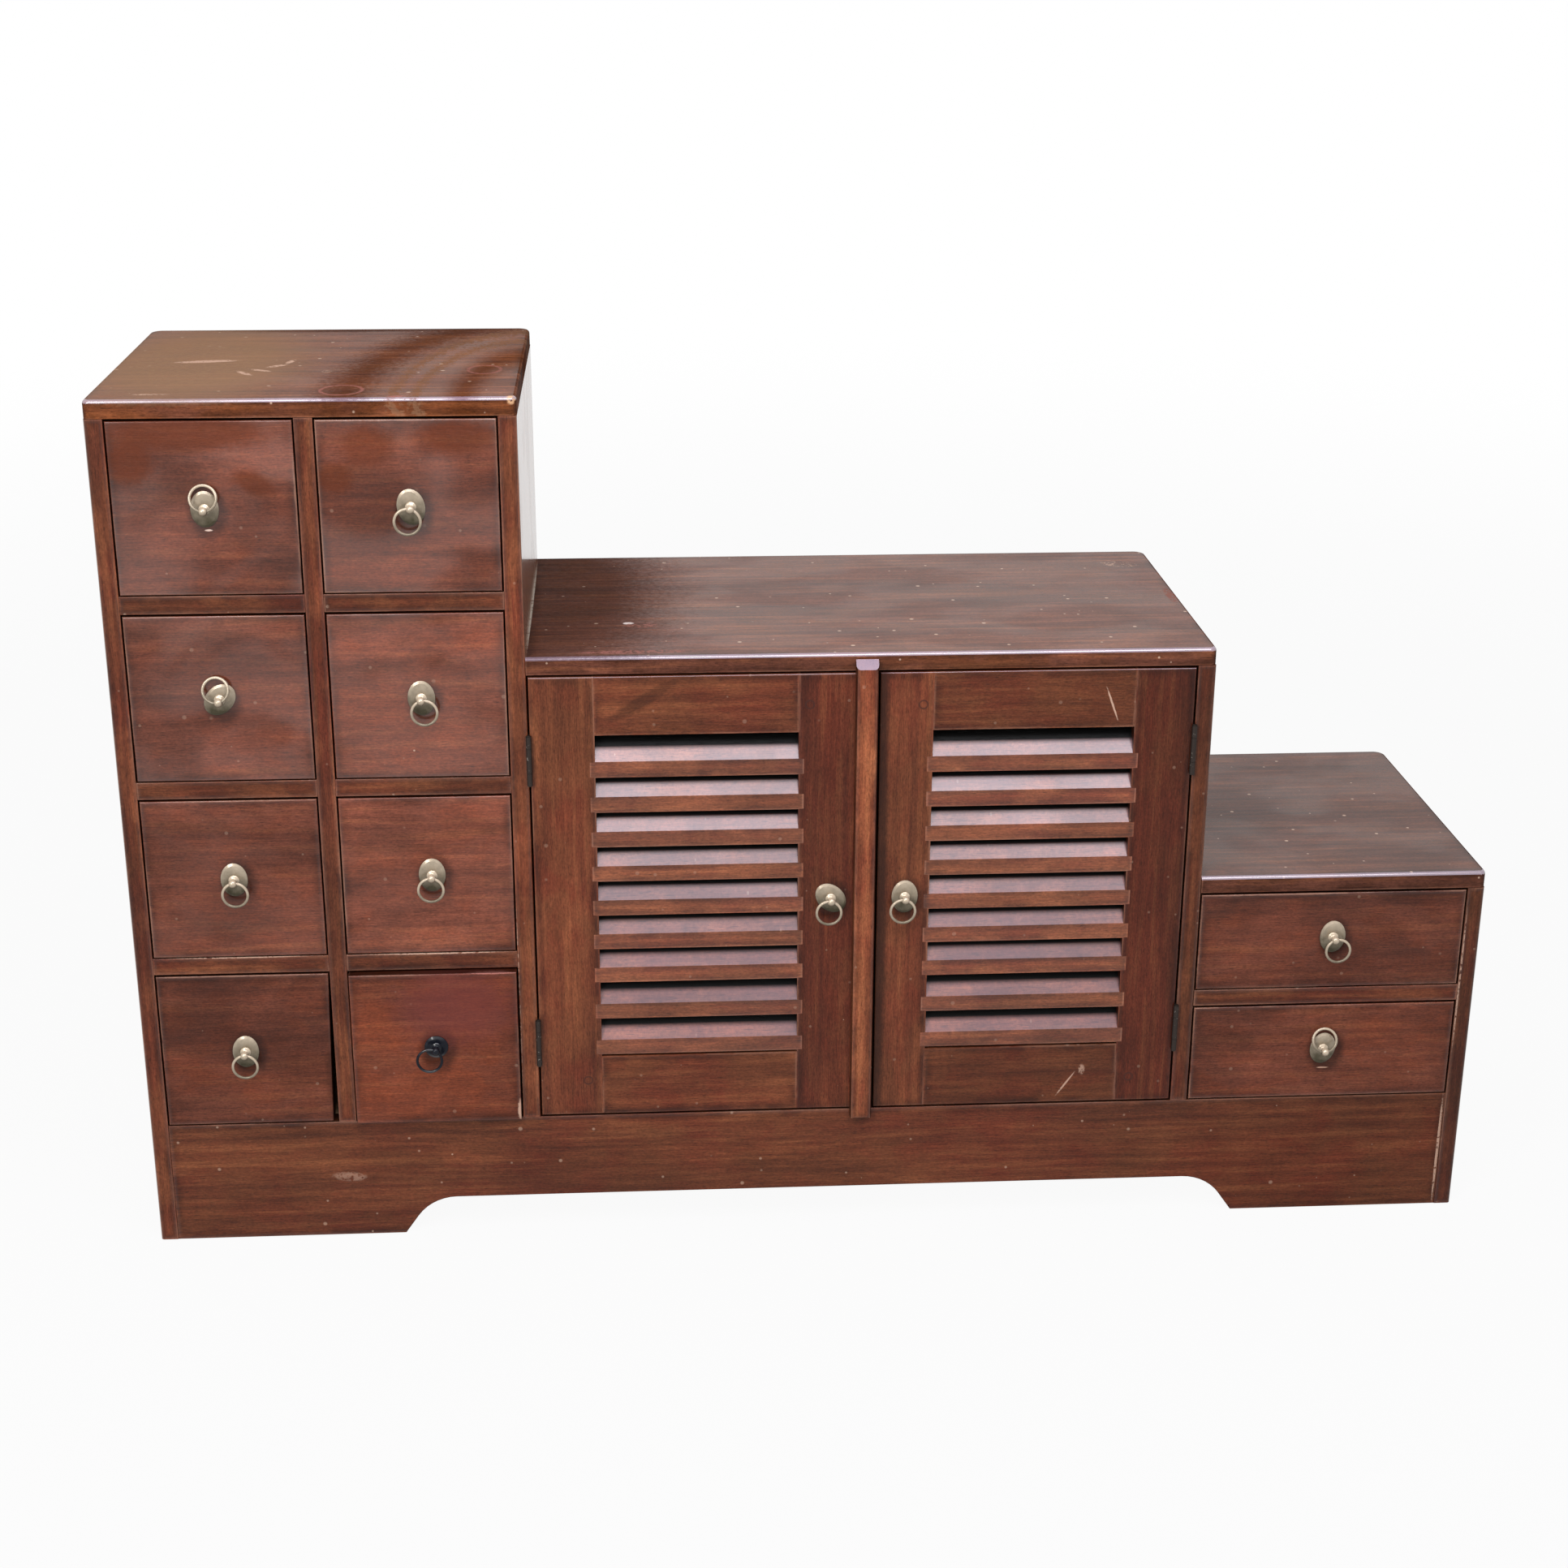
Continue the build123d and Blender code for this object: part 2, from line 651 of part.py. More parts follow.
def drawer_box(opening, sheet):
    """Two sides and a back on the bottom sheet."""
    near = opening.face_y + FRONT_THICKNESS
    far = opening.face_y + DRAWER_LENGTH
    low = opening.bottom + RUN_GAP
    high = opening.top - BOX_TOP_DROP
    left = opening.left + BOX_SIDE_GAP
    right = opening.right - BOX_SIDE_GAP - opening.taper
    with BuildPart() as left_side:
        block((left, near, low), (left + BOX_SIDE, far, high))
        add(sheet, mode=Mode.SUBTRACT)
    with BuildPart() as right_side:
        block((right - BOX_SIDE, near, low), (right, far, high))
        add(sheet, mode=Mode.SUBTRACT)
    back_bottom = low + SHEET_RISE + DRAWER_SHEET
    with BuildPart() as back:
        block((left + BOX_SIDE, far - BOX_SIDE, back_bottom), (right - BOX_SIDE, far, high))
    return group([left_side.part, right_side.part, back.part, sheet])


def drawer_front(opening, sheet, centre):
    """The front, eased around its face, with a groove for the sheet and the pull's hole."""
    left = opening.left + FRONT_SIDE_GAP
    right = opening.right - FRONT_SIDE_GAP
    low = opening.bottom + FRONT_BOTTOM_GAP
    high = opening.top - FRONT_TOP_GAP
    with BuildPart() as front:
        with BuildSketch(front_plane(opening.face_y)):
            with BuildLine():
                Polyline(
                    (left, low), (right - opening.taper, low), (right, high), (left, high), close=True
                )
            make_face()
        extrude(amount=-FRONT_THICKNESS)
        fillet(front.faces().sort_by(Axis.Y)[0].edges(), FRONT_EASE)
        add(sheet, mode=Mode.SUBTRACT)
        pull_hole(centre, FRONT_THICKNESS)
    return front.part


for opening in drawers:
    pull_centre = Vector(opening.pull_x, opening.face_y, opening.pull_z)
    bottom_sheet = drawer_sheet(opening)
    write_piece(drawer_front(opening, bottom_sheet, pull_centre), f"{opening.name}_front")
    write_piece(drawer_box(opening, bottom_sheet), f"{opening.name}_box")
    write_pull(opening.name, pull_centre, opening.pull, FRONT_THICKNESS)


# ---- Doors ------------------------------------------------------------------------------------
slat_heights = []
slat_bottom = door_bottom + BOTTOM_RAIL
for index in range(SLAT_COUNT):
    slat_heights.append(slat_bottom)
    slat_bottom += LOWER_SLAT_PITCH if index < LOWER_SLATS else SLAT_PITCH


def louvre_slat(left, right, bottom):
    """A slat with an upright front face, rising to the back of the door."""
    rise = DOOR_THICKNESS * tan(radians(SLAT_SLOPE))
    with BuildPart() as slat:
        with BuildSketch(Plane.YZ.offset(left)):
            with BuildLine():
                Polyline(
                    (door_y, bottom),
                    (door_y, bottom + SLAT_BAND),
                    (door_y + DOOR_THICKNESS, bottom + SLAT_BAND + rise),
                    (door_y + DOOR_THICKNESS, bottom + rise),
                    close=True,
                )
            make_face()
        extrude(amount=right - left)
        front_face = slat.faces().sort_by(Axis.Y)[0]
        fillet(front_face.edges().filter_by(Axis.X), SLAT_EASE)
    return slat.part


def door_stile(left, right, slats, meeting_end, centre, fittings):
    """An upright of a door's frame; meeting_end is the side, 0 left or -1 right, of the slats."""
    with BuildPart() as stile:
        block((left, door_y, door_bottom), (right, door_y + DOOR_THICKNESS, door_top))
        front_edges = stile.faces().sort_by(Axis.Y)[0].edges().sort_by(Axis.X)
        front_edges.pop(meeting_end)
        fillet(front_edges, DOOR_EASE)
        for piece in [*slats, *fittings]:
            add(piece, mode=Mode.SUBTRACT)
        if centre is not None:
            pull_hole(centre, DOOR_THICKNESS)
    return stile.part


def door_rail(left, right, bottom, top, outer_end):
    """A cross piece of a door's frame; outer_end is its free edge, 0 lower or -1 upper."""
    with BuildPart() as rail:
        block((left, door_y, bottom), (right, door_y + DOOR_THICKNESS, top))
        front_edges = rail.faces().sort_by(Axis.Y)[0].edges().filter_by(Axis.X)
        fillet(front_edges.sort_by(Axis.Z)[outer_end], DOOR_EASE)
    return rail.part


def write_door(name, edges, louvre_left, hinged_left, centre, pull, fittings):
    """A framed door with louvres, and the pull on its meeting stile."""
    left, right = edges
    louvre_right = louvre_left + LOUVRE_WIDTH
    slats = [
        louvre_slat(louvre_left - SLAT_HOUSING, louvre_right + SLAT_HOUSING, bottom)
        for bottom in slat_heights
    ]
    left_centre, right_centre = (None, centre) if hinged_left else (centre, None)
    left_fittings, right_fittings = (fittings, ()) if hinged_left else ((), fittings)
    frame = [
        door_stile(left, louvre_left, slats, -1, left_centre, left_fittings),
        door_stile(louvre_right, right, slats, 0, right_centre, right_fittings),
        door_rail(louvre_left, louvre_right, door_top - TOP_RAIL, door_top, -1),
        door_rail(louvre_left, louvre_right, door_bottom, door_bottom + BOTTOM_RAIL, 0),
    ]
    write_piece(group(frame + slats), name)
    write_pull(name, centre, pull, DOOR_THICKNESS)


write_door(
    "left_door",
    (left_door_left, left_door_right),
    left_door_left + LEFT_OUTER_STILE,
    True,
    Vector(left_door_right - LEFT_PULL_INSET, door_y, DOOR_PULL_HEIGHT),
    left_door_pull,
    left_door_hinges,
)
write_door(
    "right_door",
    (right_door_left, right_door_right),
    right_door_right - RIGHT_OUTER_STILE - LOUVRE_WIDTH,
    False,
    Vector(right_door_left + RIGHT_PULL_INSET, door_y, DOOR_PULL_HEIGHT),
    right_door_pull,
    right_door_hinges,
)

strip_y = door_y - STRIP_THICKNESS
strip_bottom = PLINTH_HEIGHT - STRIP_BOTTOM_LAP
strip_top = MIDDLE_HEIGHT - BOARD + STRIP_TOP_LAP
with BuildPart() as meeting_strip:
    with BuildSketch(Plane.YZ.offset(left_door_right - STRIP_WIDTH)):
        with BuildLine():
            Polyline(
                (door_y, strip_bottom),
                (door_y, strip_top),
                (strip_y + STRIP_TOP_SLOPE, strip_top),
                (strip_y, strip_top - STRIP_TOP_SLOPE),
                (strip_y, strip_bottom + STRIP_FOOT_BEVEL),
                (strip_y + STRIP_FOOT_BEVEL, strip_bottom),
                close=True,
            )
        make_face()
    extrude(amount=STRIP_WIDTH)
    strip_face = meeting_strip.faces().sort_by(Axis.Y)[0]
    fillet(strip_face.edges().filter_by(Axis.Z), STRIP_ROUND)
write_piece(meeting_strip.part, "meeting_strip")
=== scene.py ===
"""Dresses a stepped chest with louvred doors: stained wood, aged pulls and a pale stage."""

import math

import bmesh
import bpy
import numpy as np
from bpy.props import FloatProperty, FloatVectorProperty, PointerProperty
from mathutils import Euler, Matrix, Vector


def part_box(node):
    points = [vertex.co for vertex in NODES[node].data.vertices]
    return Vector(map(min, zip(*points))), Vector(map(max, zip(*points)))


bl_info = {
    "name": "Step Chest",
    "version": (1, 0, 0),
    "blender": (4, 5, 0),
    "location": "View3D > Sidebar > Step Chest",
    "description": "Finishes and stage for a stepped chest of drawers",
    "category": "Object",
}

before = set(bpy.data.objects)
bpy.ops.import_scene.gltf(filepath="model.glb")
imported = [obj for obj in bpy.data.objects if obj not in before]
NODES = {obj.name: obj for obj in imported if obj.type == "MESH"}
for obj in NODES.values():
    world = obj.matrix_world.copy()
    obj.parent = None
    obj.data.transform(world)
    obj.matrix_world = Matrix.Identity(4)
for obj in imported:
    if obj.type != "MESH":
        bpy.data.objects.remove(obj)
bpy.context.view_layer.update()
MM = 0.001


# ---- Shader building ---------------------------------------------------------------------------
class Field:
    """A node's output. Arithmetic on a number's Field adds Math nodes to the finish."""

    def __init__(self, finish, socket):
        self.finish = finish
        self.socket = socket

    def maths(self, operation, *values, clamp=False):
        settings = {"operation": operation, "use_clamp": clamp}
        return self.finish.node("ShaderNodeMath", settings, dict(enumerate(values)))

    def __add__(self, other):
        return self.maths("ADD", self, other)

    def __radd__(self, other):
        return self.maths("ADD", other, self)

    def __sub__(self, other):
        return self.maths("SUBTRACT", self, other)

    def __rsub__(self, other):
        return self.maths("SUBTRACT", other, self)

    def __mul__(self, other):
        return self.maths("MULTIPLY", self, other)

    def __rmul__(self, other):
        return self.maths("MULTIPLY", other, self)

    def __truediv__(self, other):
        return self.maths("DIVIDE", self, other)

    def __pow__(self, other):
        return self.maths("POWER", self, other)

    def __abs__(self):
        return self.maths("ABSOLUTE", self)

    def low(self, other):
        """The lower of two values."""
        return self.maths("MINIMUM", self, other)

    def high(self, other):
        """The higher of two values."""
        return self.maths("MAXIMUM", self, other)

    def clamped(self):
        return self.maths("ADD", self, 0.0, clamp=True)

    def rise(self, start, end):
        """Goes smoothly from 0 at start to 1 at end. With start above end it falls instead."""
        if start > end:
            return 1 - self.rise(end, start)
        settings = {"interpolation_type": "SMOOTHSTEP", "clamp": True}
        values = {"Value": self, "From Min": start, "From Max": end}
        return self.finish.node("ShaderNodeMapRange", settings, values)


class Finish:
    """A material or a world, and the nodes that make it."""

    def __init__(self, owner):
        self.owner = owner
        owner.use_nodes = True
        self.tree = owner.node_tree
        self.tree.nodes.clear()

    @classmethod
    def material(cls, name):
        return cls(bpy.data.materials.new(name))

    def node(self, kind, settings=None, inputs=None, output=0):
        """Adds a node: its settings come first, then the values or links of its sockets."""
        made = self.tree.nodes.new(kind)
        for key, value in (settings or {}).items():
            setattr(made, key, value)
        for key, value in (inputs or {}).items():
            if isinstance(value, Field):
                self.tree.links.new(value.socket, made.inputs[key])
            else:
                made.inputs[key].default_value = value
        return Field(self, made.outputs[output]) if len(made.outputs) else None

    def attribute(self, name):
        """A vector that the mesh stores for its boards."""
        settings = {"attribute_type": "GEOMETRY", "attribute_name": name}
        return self.node("ShaderNodeAttribute", settings, output="Vector")

    def vector(self, operation, *values):
        return self.node("ShaderNodeVectorMath", {"operation": operation}, dict(enumerate(values)))

    def length(self, vector):
        settings = {"operation": "LENGTH"}
        return self.node("ShaderNodeVectorMath", settings, {0: vector}, output="Value")

    def parts(self, vector):
        """The three numbers of a vector."""
        made = self.node("ShaderNodeSeparateXYZ", inputs={0: vector}).socket.node
        return [Field(self, socket) for socket in made.outputs]

    def object_place(self):
        return self.node("ShaderNodeTexCoord", output="Object")

    def noise(self, place, stretch, detail=2.0, roughness=0.5, distortion=0.0):
        """Soft noise with so many features to the metre along each axis."""
        scaled = self.vector("MULTIPLY", place, stretch)
        values = {
            "Vector": scaled,
            "Scale": 1.0,
            "Detail": detail,
            "Roughness": roughness,
            "Distortion": distortion,
        }
        return self.node("ShaderNodeTexNoise", {"noise_dimensions": "3D"}, values)

    def wavy(self, place, stretch, reach):
        """A place pushed about by soft noise, at most so far along each axis."""
        scaled = self.vector("MULTIPLY", place, stretch)
        values = {"Vector": scaled, "Scale": 1.0, "Detail": 1.0}
        push = self.node("ShaderNodeTexNoise", None, values, output="Color")
        push = self.vector("SUBTRACT", push, (0.5, 0.5, 0.5))
        push = self.vector("MULTIPLY", push, [2 * part for part in reach])
        return self.vector("ADD", place, push)

    def specks(self, place, stretch, size, share):
        """Small spots, one at most in each cell: size is a radius in cells, share how many show."""
        scaled = self.vector("MULTIPLY", place, stretch)
        settings = {"voronoi_dimensions": "3D", "feature": "F1"}
        made = self.node("ShaderNodeTexVoronoi", settings, {"Vector": scaled, "Scale": 1.0})
        colour = Field(self, made.socket.node.outputs["Color"])
        pick, spread, _ = self.parts(colour)
        shown = pick.rise(1 - share, 1 - share + 0.02)
        radius = (spread * 0.8 + 0.2) * size
        return shown * (1 - made / radius).rise(0.0, 0.5)

    def mix(self, factor, first, second):
        """A colour between two."""
        settings = {"data_type": "RGBA", "blend_type": "MIX", "clamp_factor": True}
        return self.node("ShaderNodeMix", settings, {0: factor, 6: first, 7: second}, output=2)

    def shade(self, colour, amount):
        """A colour made darker or lighter by a number."""
        grey = self.node("ShaderNodeCombineColor", inputs={0: amount, 1: amount, 2: amount})
        settings = {"data_type": "RGBA", "blend_type": "MULTIPLY", "clamp_factor": True}
        return self.node("ShaderNodeMix", settings, {0: 1.0, 6: colour, 7: grey}, output=2)

    def bump(self, height, distance, strength=1.0, normal=None):
        values = {"Height": height, "Distance": distance, "Strength": strength}
        if normal is not None:
            values["Normal"] = normal
        return self.node("ShaderNodeBump", inputs=values)

    def surface(self, values):
        """Ends a material in one principled shader."""
        shader = self.node("ShaderNodeBsdfPrincipled", inputs=values)
        self.node("ShaderNodeOutputMaterial", inputs={"Surface": shader})
        return self.owner


def rgb(colour):
    """A colour property as a socket's four numbers."""
    return (colour[0], colour[1], colour[2], 1.0)


# ---- Boards ------------------------------------------------------------------------------------
THINNEST_BOARD = 0.5 * MM
TALLEST_SLAT = 50 * MM


def solids_of(mesh):
    """Lists the faces of each closed solid in a mesh, as arrays of face numbers."""
    corners = np.empty(len(mesh.loops), np.int64)
    mesh.loops.foreach_get("vertex_index", corners)
    places = np.empty(len(mesh.vertices) * 3)
    mesh.vertices.foreach_get("co", places)
    places = places.reshape(-1, 3)
    _, spot = np.unique(np.round(places * 1e6).astype(np.int64), axis=0, return_inverse=True)
    faces = spot.reshape(-1)[corners].reshape(-1, 3)
    owner = list(range(len(faces)))

    def root(face):
        while owner[face] != face:
            owner[face] = owner[owner[face]]
            face = owner[face]
        return face

    edges = {}
    for number, (a, b, c) in enumerate(faces):
        for pair in ((a, b), (b, c), (c, a)):
            edges.setdefault((min(pair), max(pair)), []).append(number)
    for sharing in edges.values():
        if len(sharing) == 2:
            owner[root(sharing[0])] = root(sharing[1])
    roots = np.array([root(face) for face in range(len(faces))])
    return [np.flatnonzero(roots == each) for each in np.unique(roots)]


class Board:
    """One solid of a node: the numbers of its faces, and its box."""

    def __init__(self, faces, low, high):
        self.faces = faces
        self.low = low
        self.high = high
        self.size = high - low
        self.centre = (low + high) / 2


def points_of(mesh):
    """The corners of each face of a mesh, as places."""
    places = np.empty(len(mesh.vertices) * 3)
    mesh.vertices.foreach_get("co", places)
    corners = np.empty(len(mesh.loops), np.int64)
    mesh.loops.foreach_get("vertex_index", corners)
    return places.reshape(-1, 3)[corners].reshape(-1, 3, 3)


def boards_of(node):
    """The boards of a node, with loose flat patches counted to the board that they lie on."""
    mesh = NODES[node].data
    points = points_of(mesh)
    groups = []
    for faces in solids_of(mesh):
        own = points[faces].reshape(-1, 3)
        groups.append(Board(faces, own.min(0), own.max(0)))
    solid = [board for board in groups if board.size.min() > THINNEST_BOARD]
    for patch in groups:
        if patch.size.min() > THINNEST_BOARD:
            continue
        gaps = [np.maximum(b.low - patch.centre, patch.centre - b.high).max() for b in solid]
        home = solid[int(np.argmin(gaps))]
        home.faces = np.concatenate((home.faces, patch.faces))
    solid.sort(key=lambda board: tuple(np.round(board.centre, 4)))
    return points, solid


def lay_out_boards(node, grain=None, look=None, faces=None, slat_height=None):
    """Stores each board's own coordinates, half sizes and look.

    The coordinates run along the grain, across it and through the board, in metres. A look is
    how red and how light the board is. Each face also gets three masks: end grain, in a gap, where
    shade is painted, and glossy. A slat is laid level by its front face's height, so that the grain
    follows its slope.
    """
    mesh = NODES[node].data
    points, boards = boards_of(node)
    normals = np.cross(points[:, 1] - points[:, 0], points[:, 2] - points[:, 0])
    normals /= np.maximum(np.linalg.norm(normals, axis=1), 1e-12)[:, None]
    place = np.zeros_like(points)
    half = np.zeros((len(points), 3))
    looks = np.zeros((len(points), 3))
    masks = np.zeros((len(points), 3))
    if faces:
        masks[:, 1], masks[:, 2] = faces(normals, points.mean(axis=1))
    for number, board in enumerate(boards):
        own = points[board.faces].copy()
        size, centre = board.size.copy(), board.centre.copy()
        if slat_height is not None and size[2] < TALLEST_SLAT:
            slope = (size[2] - slat_height) / size[1]
            own[:, :, 2] -= (own[:, :, 1] - board.low[1]) * slope
            size[2] = slat_height
            centre[2] = board.low[2] + slat_height / 2
        along = int(np.argmax(size)) if grain is None else grain
        rest = sorted((axis for axis in range(3) if axis != along), key=lambda axis: -size[axis])
        order = [along, *rest]
        place[board.faces] = (own - centre)[:, :, order]
        half[board.faces] = (size / 2)[order]
        masks[board.faces, 0] = np.abs(normals[board.faces, along]) > 0.7
        red, light = look(board) if look else (0.5, 1.0)
        looks[board.faces] = (red, light, (hash_of(node) + number * 37) % 101)
    store(mesh, "board", "CORNER", place)
    store(mesh, "board_half", "FACE", half)
    store(mesh, "board_look", "FACE", looks)
    store(mesh, "board_masks", "FACE", masks)


def measure_from_pull(node, pull):
    """Stores how far each corner of a front or a door is from the middle of its pull."""
    mesh = NODES[node].data
    points = points_of(mesh)
    around = points_of(NODES[pull].data).reshape(-1, 3)
    middle = (around.min(axis=0) + around.max(axis=0)) / 2
    store(mesh, "pull_place", "CORNER", points - middle)


def hash_of(text):
    """A number that stays the same for the same text."""
    total = 7
    for letter in text:
        total = (total * 31 + ord(letter)) % 9973
    return total


def store(mesh, name, domain, values):
    layer = mesh.attributes.new(name, "FLOAT_VECTOR", domain)
    layer.data.foreach_set("vector", np.ascontiguousarray(values, np.float32).ravel())


# ---- Wood --------------------------------------------------------------------------------------
# How far from a board's edge each kind of wear, the darker band and the glint fade in, and where
# they are full.
WORN_WIDTH = (2.2 * MM, 0.4 * MM)
EDGE_DARKENING_WIDTH = (11 * MM, 1 * MM)
CHIP_WIDTH = (6 * MM, 1 * MM)
GLINT_WIDTH = (4.5 * MM, 2 * MM)
EDGE_FRAY = 3 * MM
# Dirt and a painted shadow around a pull: its middle and its half sizes, across and up.
PULL_DIRT_AND_SHADOW_AT = (2.8 * MM, -3 * MM)
PULL_DIRT_AND_SHADOW_SIZE = (16.5 * MM, 20.5 * MM)


class Mark:
    """A place of wear: where it is, its half sizes, colour, strength and turn in degrees.

    A ring is a line of so much of the half size. Broken says how much of the mark is missing, and
    for a wash how uneven it is.
    """

    dull = 0.5

    def __init__(self, at, size, colour, strength=0.8, turn=(0, 0, 0), ring=0.0, broken=0.45):
        self.at = at
        self.size = size
        self.colour = colour
        self.strength = strength
        self.turn = turn
        self.ring = ring
        self.broken = broken

    def reach(self, f, where):
        """How far a place is from the middle of the mark: 1 at its rim."""
        values = {
            "Vector": where,
            "Location": self.at,
            "Rotation": tuple(math.radians(angle) for angle in self.turn),
            "Scale": self.size,
        }
        return f.length(f.node("ShaderNodeMapping", {"vector_type": "TEXTURE"}, values))

    def mask(self, f, where, grit):
        """1 on the mark and 0 off it, with a gritty edge."""
        reach = self.reach(f, where)
        if self.ring:
            shape = abs(reach + (grit - 0.5) * 0.15 - 1.0).rise(self.ring, self.ring * 0.3)
        else:
            shape = (reach + (grit - 0.5) * 0.9).rise(1.0, 0.6)
        return shape * grit.rise(self.broken - 0.1, self.broken + 0.06)


class Wash(Mark):
    """A wide soft patch or ring of another tone, less glossy."""

    dull = 0.9

    def mask(self, f, where, grit):
        reach = self.reach(f, where)
        if self.ring:
            return abs(reach + (grit - 0.5) * 0.3 - 1.0).rise(self.ring, 0.0)
        return (reach + (grit - 0.5) * 0.5).rise(1.0, 0.4) * (1 + (grit - 0.5) * self.broken)


def board_place(f):
    """A board's own coordinates, moved by its seed so that no two boards are alike."""
    red, light, seed = f.parts(f.attribute("board_look"))
    offset = f.node("ShaderNodeCombineXYZ", inputs={0: seed * 3.7, 1: seed * 1.9, 2: seed * 2.3})
    return f.vector("ADD", f.attribute("board"), offset), red, light


def dirt_and_shadow_at_pull(f, unevenness):
    """Dirt and a painted shadow around a pull, heaviest below it and to its right, away from the key
    lamp.
    """
    x, _, z = f.parts(f.attribute("pull_place"))
    across = (x - PULL_DIRT_AND_SHADOW_AT[0]) / PULL_DIRT_AND_SHADOW_SIZE[0]
    up = (z - PULL_DIRT_AND_SHADOW_AT[1]) / PULL_DIRT_AND_SHADOW_SIZE[1]
    reach = (across * across + up * up) ** 0.5
    return (reach + (unevenness - 0.5) * 0.5).rise(1.3, 0.75) * 0.58


def stained_wood(name, tones, gloss, marks=(), wear=0.5):
    """Stained and lacquered wood: figure, streaks, pores, mottled stain, worn edges and specks, with
    painted shade, shadow and reflection.
    """
    f = Finish.material(name)
    place, red, light = board_place(f)
    where = f.object_place()
    end_grain, gap_shade, shiny = f.parts(f.attribute("board_masks"))
    if gloss["covered_to"]:
        shiny = shiny * f.parts(where)[2].rise(gloss["covered_to"] - MM, gloss["covered_to"])
    bent = f.wavy(place, (5, 26, 26), (0, 5 * MM, 5 * MM))

    # The wood's own pattern.
    figure = f.noise(bent, (1.7, 30, 30), detail=3, roughness=0.55)
    streaks = f.noise(bent, (6, 150, 150), detail=5, roughness=0.62)
    fine = f.noise(bent, (42, 1300, 1300), detail=1)
    pores = f.noise(place, (120, 2000, 2000), detail=0).rise(0.62, 0.76)
    cloud = f.noise(place, (9, 13, 13), detail=2, distortion=0.5)
    blotch = f.noise(place, (24, 36, 36), detail=3, roughness=0.55, distortion=0.4)

    # The stain: brown and red clouds, light streaks and dark bands.
    redness = cloud.rise(0.38, 0.64) * 0.6 + blotch.rise(0.42, 0.62) * 0.45 + red - 0.55
    colour = f.mix(redness.clamped(), tones["brown"], tones["red"])
    colour = f.mix(streaks.rise(0.48, 0.7) * 0.45 * gloss["grain"], colour, tones["light"])
    darkness = figure.rise(0.42, 0.72) * 0.42 + streaks.rise(0.52, 0.32) * 0.3 * gloss["grain"]
    darkness = darkness + end_grain * 0.3
    colour = f.mix(darkness.clamped(), colour, tones["dark"])

    # Worn edges, a darker band beside them and an uneven tone.
    centred = f.vector("ABSOLUTE", f.attribute("board"))
    x, y, z = f.parts(f.vector("SUBTRACT", f.attribute("board_half"), centred))
    edge = x.low(y).high(x.high(y).low(z))
    fray = f.noise(place, (70, 70, 70), detail=3, roughness=0.6)
    rub = f.noise(place, (9, 9, 9), detail=2)
    edge_line = (edge + (fray - 0.5) * EDGE_FRAY).rise(*WORN_WIDTH)
    worn = edge_line * (fray * 0.5 + rub * 0.8 - 0.15).rise(0.42, 0.62) * wear
    edge_darkening = edge.rise(*EDGE_DARKENING_WIDTH) * (1 - edge_line) * blotch.rise(0.3, 0.6) * 0.5
    mottle = f.noise(place, (16, 34, 34), detail=6, roughness=0.72)
    sand = f.noise(place, (330, 620, 620), detail=2, roughness=0.7)
    tone = 0.61 + fine * 0.78 - pores * 0.4
    tone = tone * (0.4 + streaks * 0.4 * gloss["grain"] + mottle * 0.9)
    tone = tone * (0.4 + sand * 1.2)
    broad = f.noise(place, (6, 10, 10), detail=4, roughness=0.6, distortion=0.8).rise(0.38, 0.62)
    tone = tone * (1 + (broad - 0.5) * gloss["uneven"]) * (1 - edge_darkening) * light
    colour = f.shade(colour, tone)
    colour = f.mix(worn * 0.8, colour, tones["worn"])

    # Pale chips, specks and dust, a painted reflection on glossy faces, and dirt and a painted
    # shadow around a pull.
    chips = f.specks(place, (40, 40, 40), 0.1, 0.25) * edge.rise(*CHIP_WIDTH)
    specks = f.specks(place, (24, 24, 24), 0.03, 0.6)
    dust = f.specks(place, (60, 60, 60), 0.16, 0.6)
    pale = chips.high(specks * 0.8) * gloss["specks"]
    pale = pale.high(dust * gloss["dust"])
    colour = f.mix(pale, colour, tones["pale"])
    # A pale painted reflection on glossy faces: the sky on slopes, a highlight on rounded edges, a
    # glare on broad sides.
    if gloss["sheen"]:
        colour = f.mix(shiny.rise(0.5, 1.0) * gloss["sheen"], colour, tones["sheen"])
    if gloss["handled"]:
        colour = f.shade(colour, 1 - dirt_and_shadow_at_pull(f, rub))

    # Marks of wear, painted shadows and reflections, and painted shade in gaps and under slats.
    roughness = gloss["roughness"] + (cloud - 0.5) * 0.2 + pale * 0.2 + pores * 0.08
    polish = 1 - gap_shade
    if marks:
        grit = f.noise(where, (230, 230, 230), detail=3, roughness=0.65)
    for mark in marks:
        mask = mark.mask(f, where, grit)
        colour = f.mix(mask * mark.strength, colour, (*mark.colour, 1.0))
        polish = polish * (1 - mask * mark.dull)
    # Painted shade on the faces in gaps and on undersides.
    colour = f.shade(colour, 1 - gap_shade * 0.68)
    # Painted shade on the upper part of each slat's slope, under the slat above.
    if gloss["shaded"]:
        shade = f.parts(where)[1].rise(*gloss["shaded"]) * shiny
        colour = f.shade(colour, 1 - shade * 0.9)
        polish = polish * (1 - shade * 0.95)

